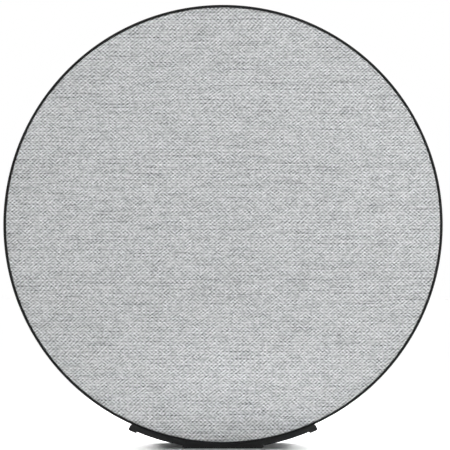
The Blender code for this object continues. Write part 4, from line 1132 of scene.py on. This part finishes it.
def thick_path(path, thickness):
    """Close a path of (radius, y) points into the outline of a skin that lies behind it."""
    return path + [(radius, y + thickness) for radius, y in reversed(path)]


def make_cone():
    """The paper cone, with shallow rings pressed into it, and the dust cap over its neck."""
    low, high = size_of("driver_cone")
    width = (high.x - low.x) / 2 - CONE_NECK
    neck_depth = high.y - CONE_THICKNESS
    path = []
    for share in np.linspace(0.0, 1.0, 65):
        ring = CONE_RING_DEPTH * math.sin(math.pi * CONE_RINGS * share) ** 2
        path.append((CONE_NECK + width * share, neck_depth + (low.y - neck_depth) * share - ring))
    speaker_piece("driver_cone", thick_path(path, CONE_THICKNESS), "cone", "cone_paper")
    low, high = size_of("dust_cap")
    width, height = (high.x - low.x) / 2, high.y - low.y
    base = (0.0, high.y)
    cap = arc(base, (width, height), -90.0, 0.0, 24)
    cap += arc(base, (width - CAP_THICKNESS, height - CAP_THICKNESS), 0.0, -90.0, 24)
    speaker_piece("dust_cap", cap, "cone", "cone_paper")


def make_surround():
    """The rubber half roll between the cone's edge and the lip on the basket's flange."""
    low, high = size_of("driver_surround")
    outer = (high.x - low.x) / 2
    centre = (ROLL_MIDDLE, high.y - ROLL_THICKNESS)
    inner = ROLL_RADIUS - ROLL_THICKNESS
    outline = [(outer, high.y), (outer, centre[1])]
    outline += round_arc(ROLL_RADIUS, 0.0, -180.0, 24, centre)
    outline += round_arc(inner, -180.0, 0.0, 24, centre)
    outline += [(ROLL_MIDDLE + inner + ROLL_FOOT, high.y)]
    speaker_piece("driver_surround", outline, "hub", "surround_rubber")


def make_spider():
    """The spider's round corrugations, in a mesh of its own."""
    low, high = size_of("driver_spider")
    width = (high.x - low.x) / 2 - CONE_NECK
    back = high.y - SPIDER_THICKNESS
    path = [(CONE_NECK + width * share,
             back - (back - low.y) * (1 - math.cos(math.tau * SPIDER_WAVES * share)) / 2)
            for share in np.linspace(0.0, 1.0, 73)]
    outline = thick_path(path, SPIDER_THICKNESS)
    spider = speaker_piece("driver_spider", outline, "hub", "spider_cloth")
    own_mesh(spider)


# Floor, light and camera --------------

def make_floor():
    """A plain pale floor."""
    half = FLOOR_HALF_WIDTH
    floor = bpy.data.meshes.new("floor")
    corners = [(-half, -half, 0), (half, -half, 0), (half, half, 0), (-half, half, 0)]
    floor.from_pydata(corners, [], [(0, 1, 2, 3)])
    look = Surface("floor", FLOOR_COLOUR, 0.7)
    look.shade(Specular_IOR_Level=0.0)
    floor.materials.append(look.material)
    made = linked(bpy.data.objects.new("floor", floor))


def add_light(name, place_at, target, size, power, spread):
    """An area light that only lights: the camera doesn't see it."""
    light = bpy.data.lights.new(name, "AREA")
    light.shape = "RECTANGLE"
    light.size, light.size_y = size
    light.energy = power
    light.spread = math.radians(spread)
    made = linked(bpy.data.objects.new(name, light))
    made.location = place_at
    made.rotation_euler = (Vector(target) - Vector(place_at)).to_track_quat("-Z", "Y").to_euler()
    made.visible_camera = False


def make_dome():
    """A pale dome, brighter behind the hub than in front, which the camera sees as plain white."""
    world = bpy.data.worlds.new("studio")
    world.use_nodes = True
    sky = Nodes(world.node_tree)
    direction = sky.add("ShaderNodeTexCoord").outputs["Generated"]
    depth = sky.add("ShaderNodeSeparateXYZ", {0: direction}).outputs["Y"]
    glow = sky.spread(depth, *DOME_STRENGTHS, *DOME_BLEND, interpolation_type="SMOOTHSTEP")
    to_camera = sky.add("ShaderNodeLightPath").outputs["Is Camera Ray"]
    seen = sky.add("ShaderNodeMix", {"Factor": to_camera, "A": glow, "B": 1.0}).outputs["Result"]
    background = sky.tree.nodes["Background"].inputs
    sky.put(seen, background["Strength"])
    sky.put((1.0, 1.0, 1.0, 1.0), background["Color"])
    bpy.context.scene.world = world
    bpy.context.scene.view_settings.view_transform = "Standard"


def make_camera():
    """A long lens that looks straight at the front."""
    camera = bpy.data.cameras.new("camera")
    camera.sensor_width = SENSOR_WIDTH
    camera.lens = SENSOR_WIDTH * CAMERA_DISTANCE / VIEW_WIDTH
    made = linked(bpy.data.objects.new("camera", camera))
    made.location = Vector((CAMERA_ACROSS, FRONT - CAMERA_DISTANCE, CENTRE_HEIGHT + CAMERA_RISE)) * MM
    made.rotation_euler = (math.radians(90.0), 0.0, 0.0)
    bpy.context.scene.camera = made


finishes = make_finishes()
dress_cad_nodes()
make_cloth()
make_shell()
make_cradle()
make_stand_screws()
make_sole()
make_buttons()
make_rocker()
make_slider()
make_jack()
make_usb_socket()
make_cone()
make_surround()
make_spider()
make_floor()
make_dome()
for values in LIGHTS:
    add_light(*values)
make_camera()
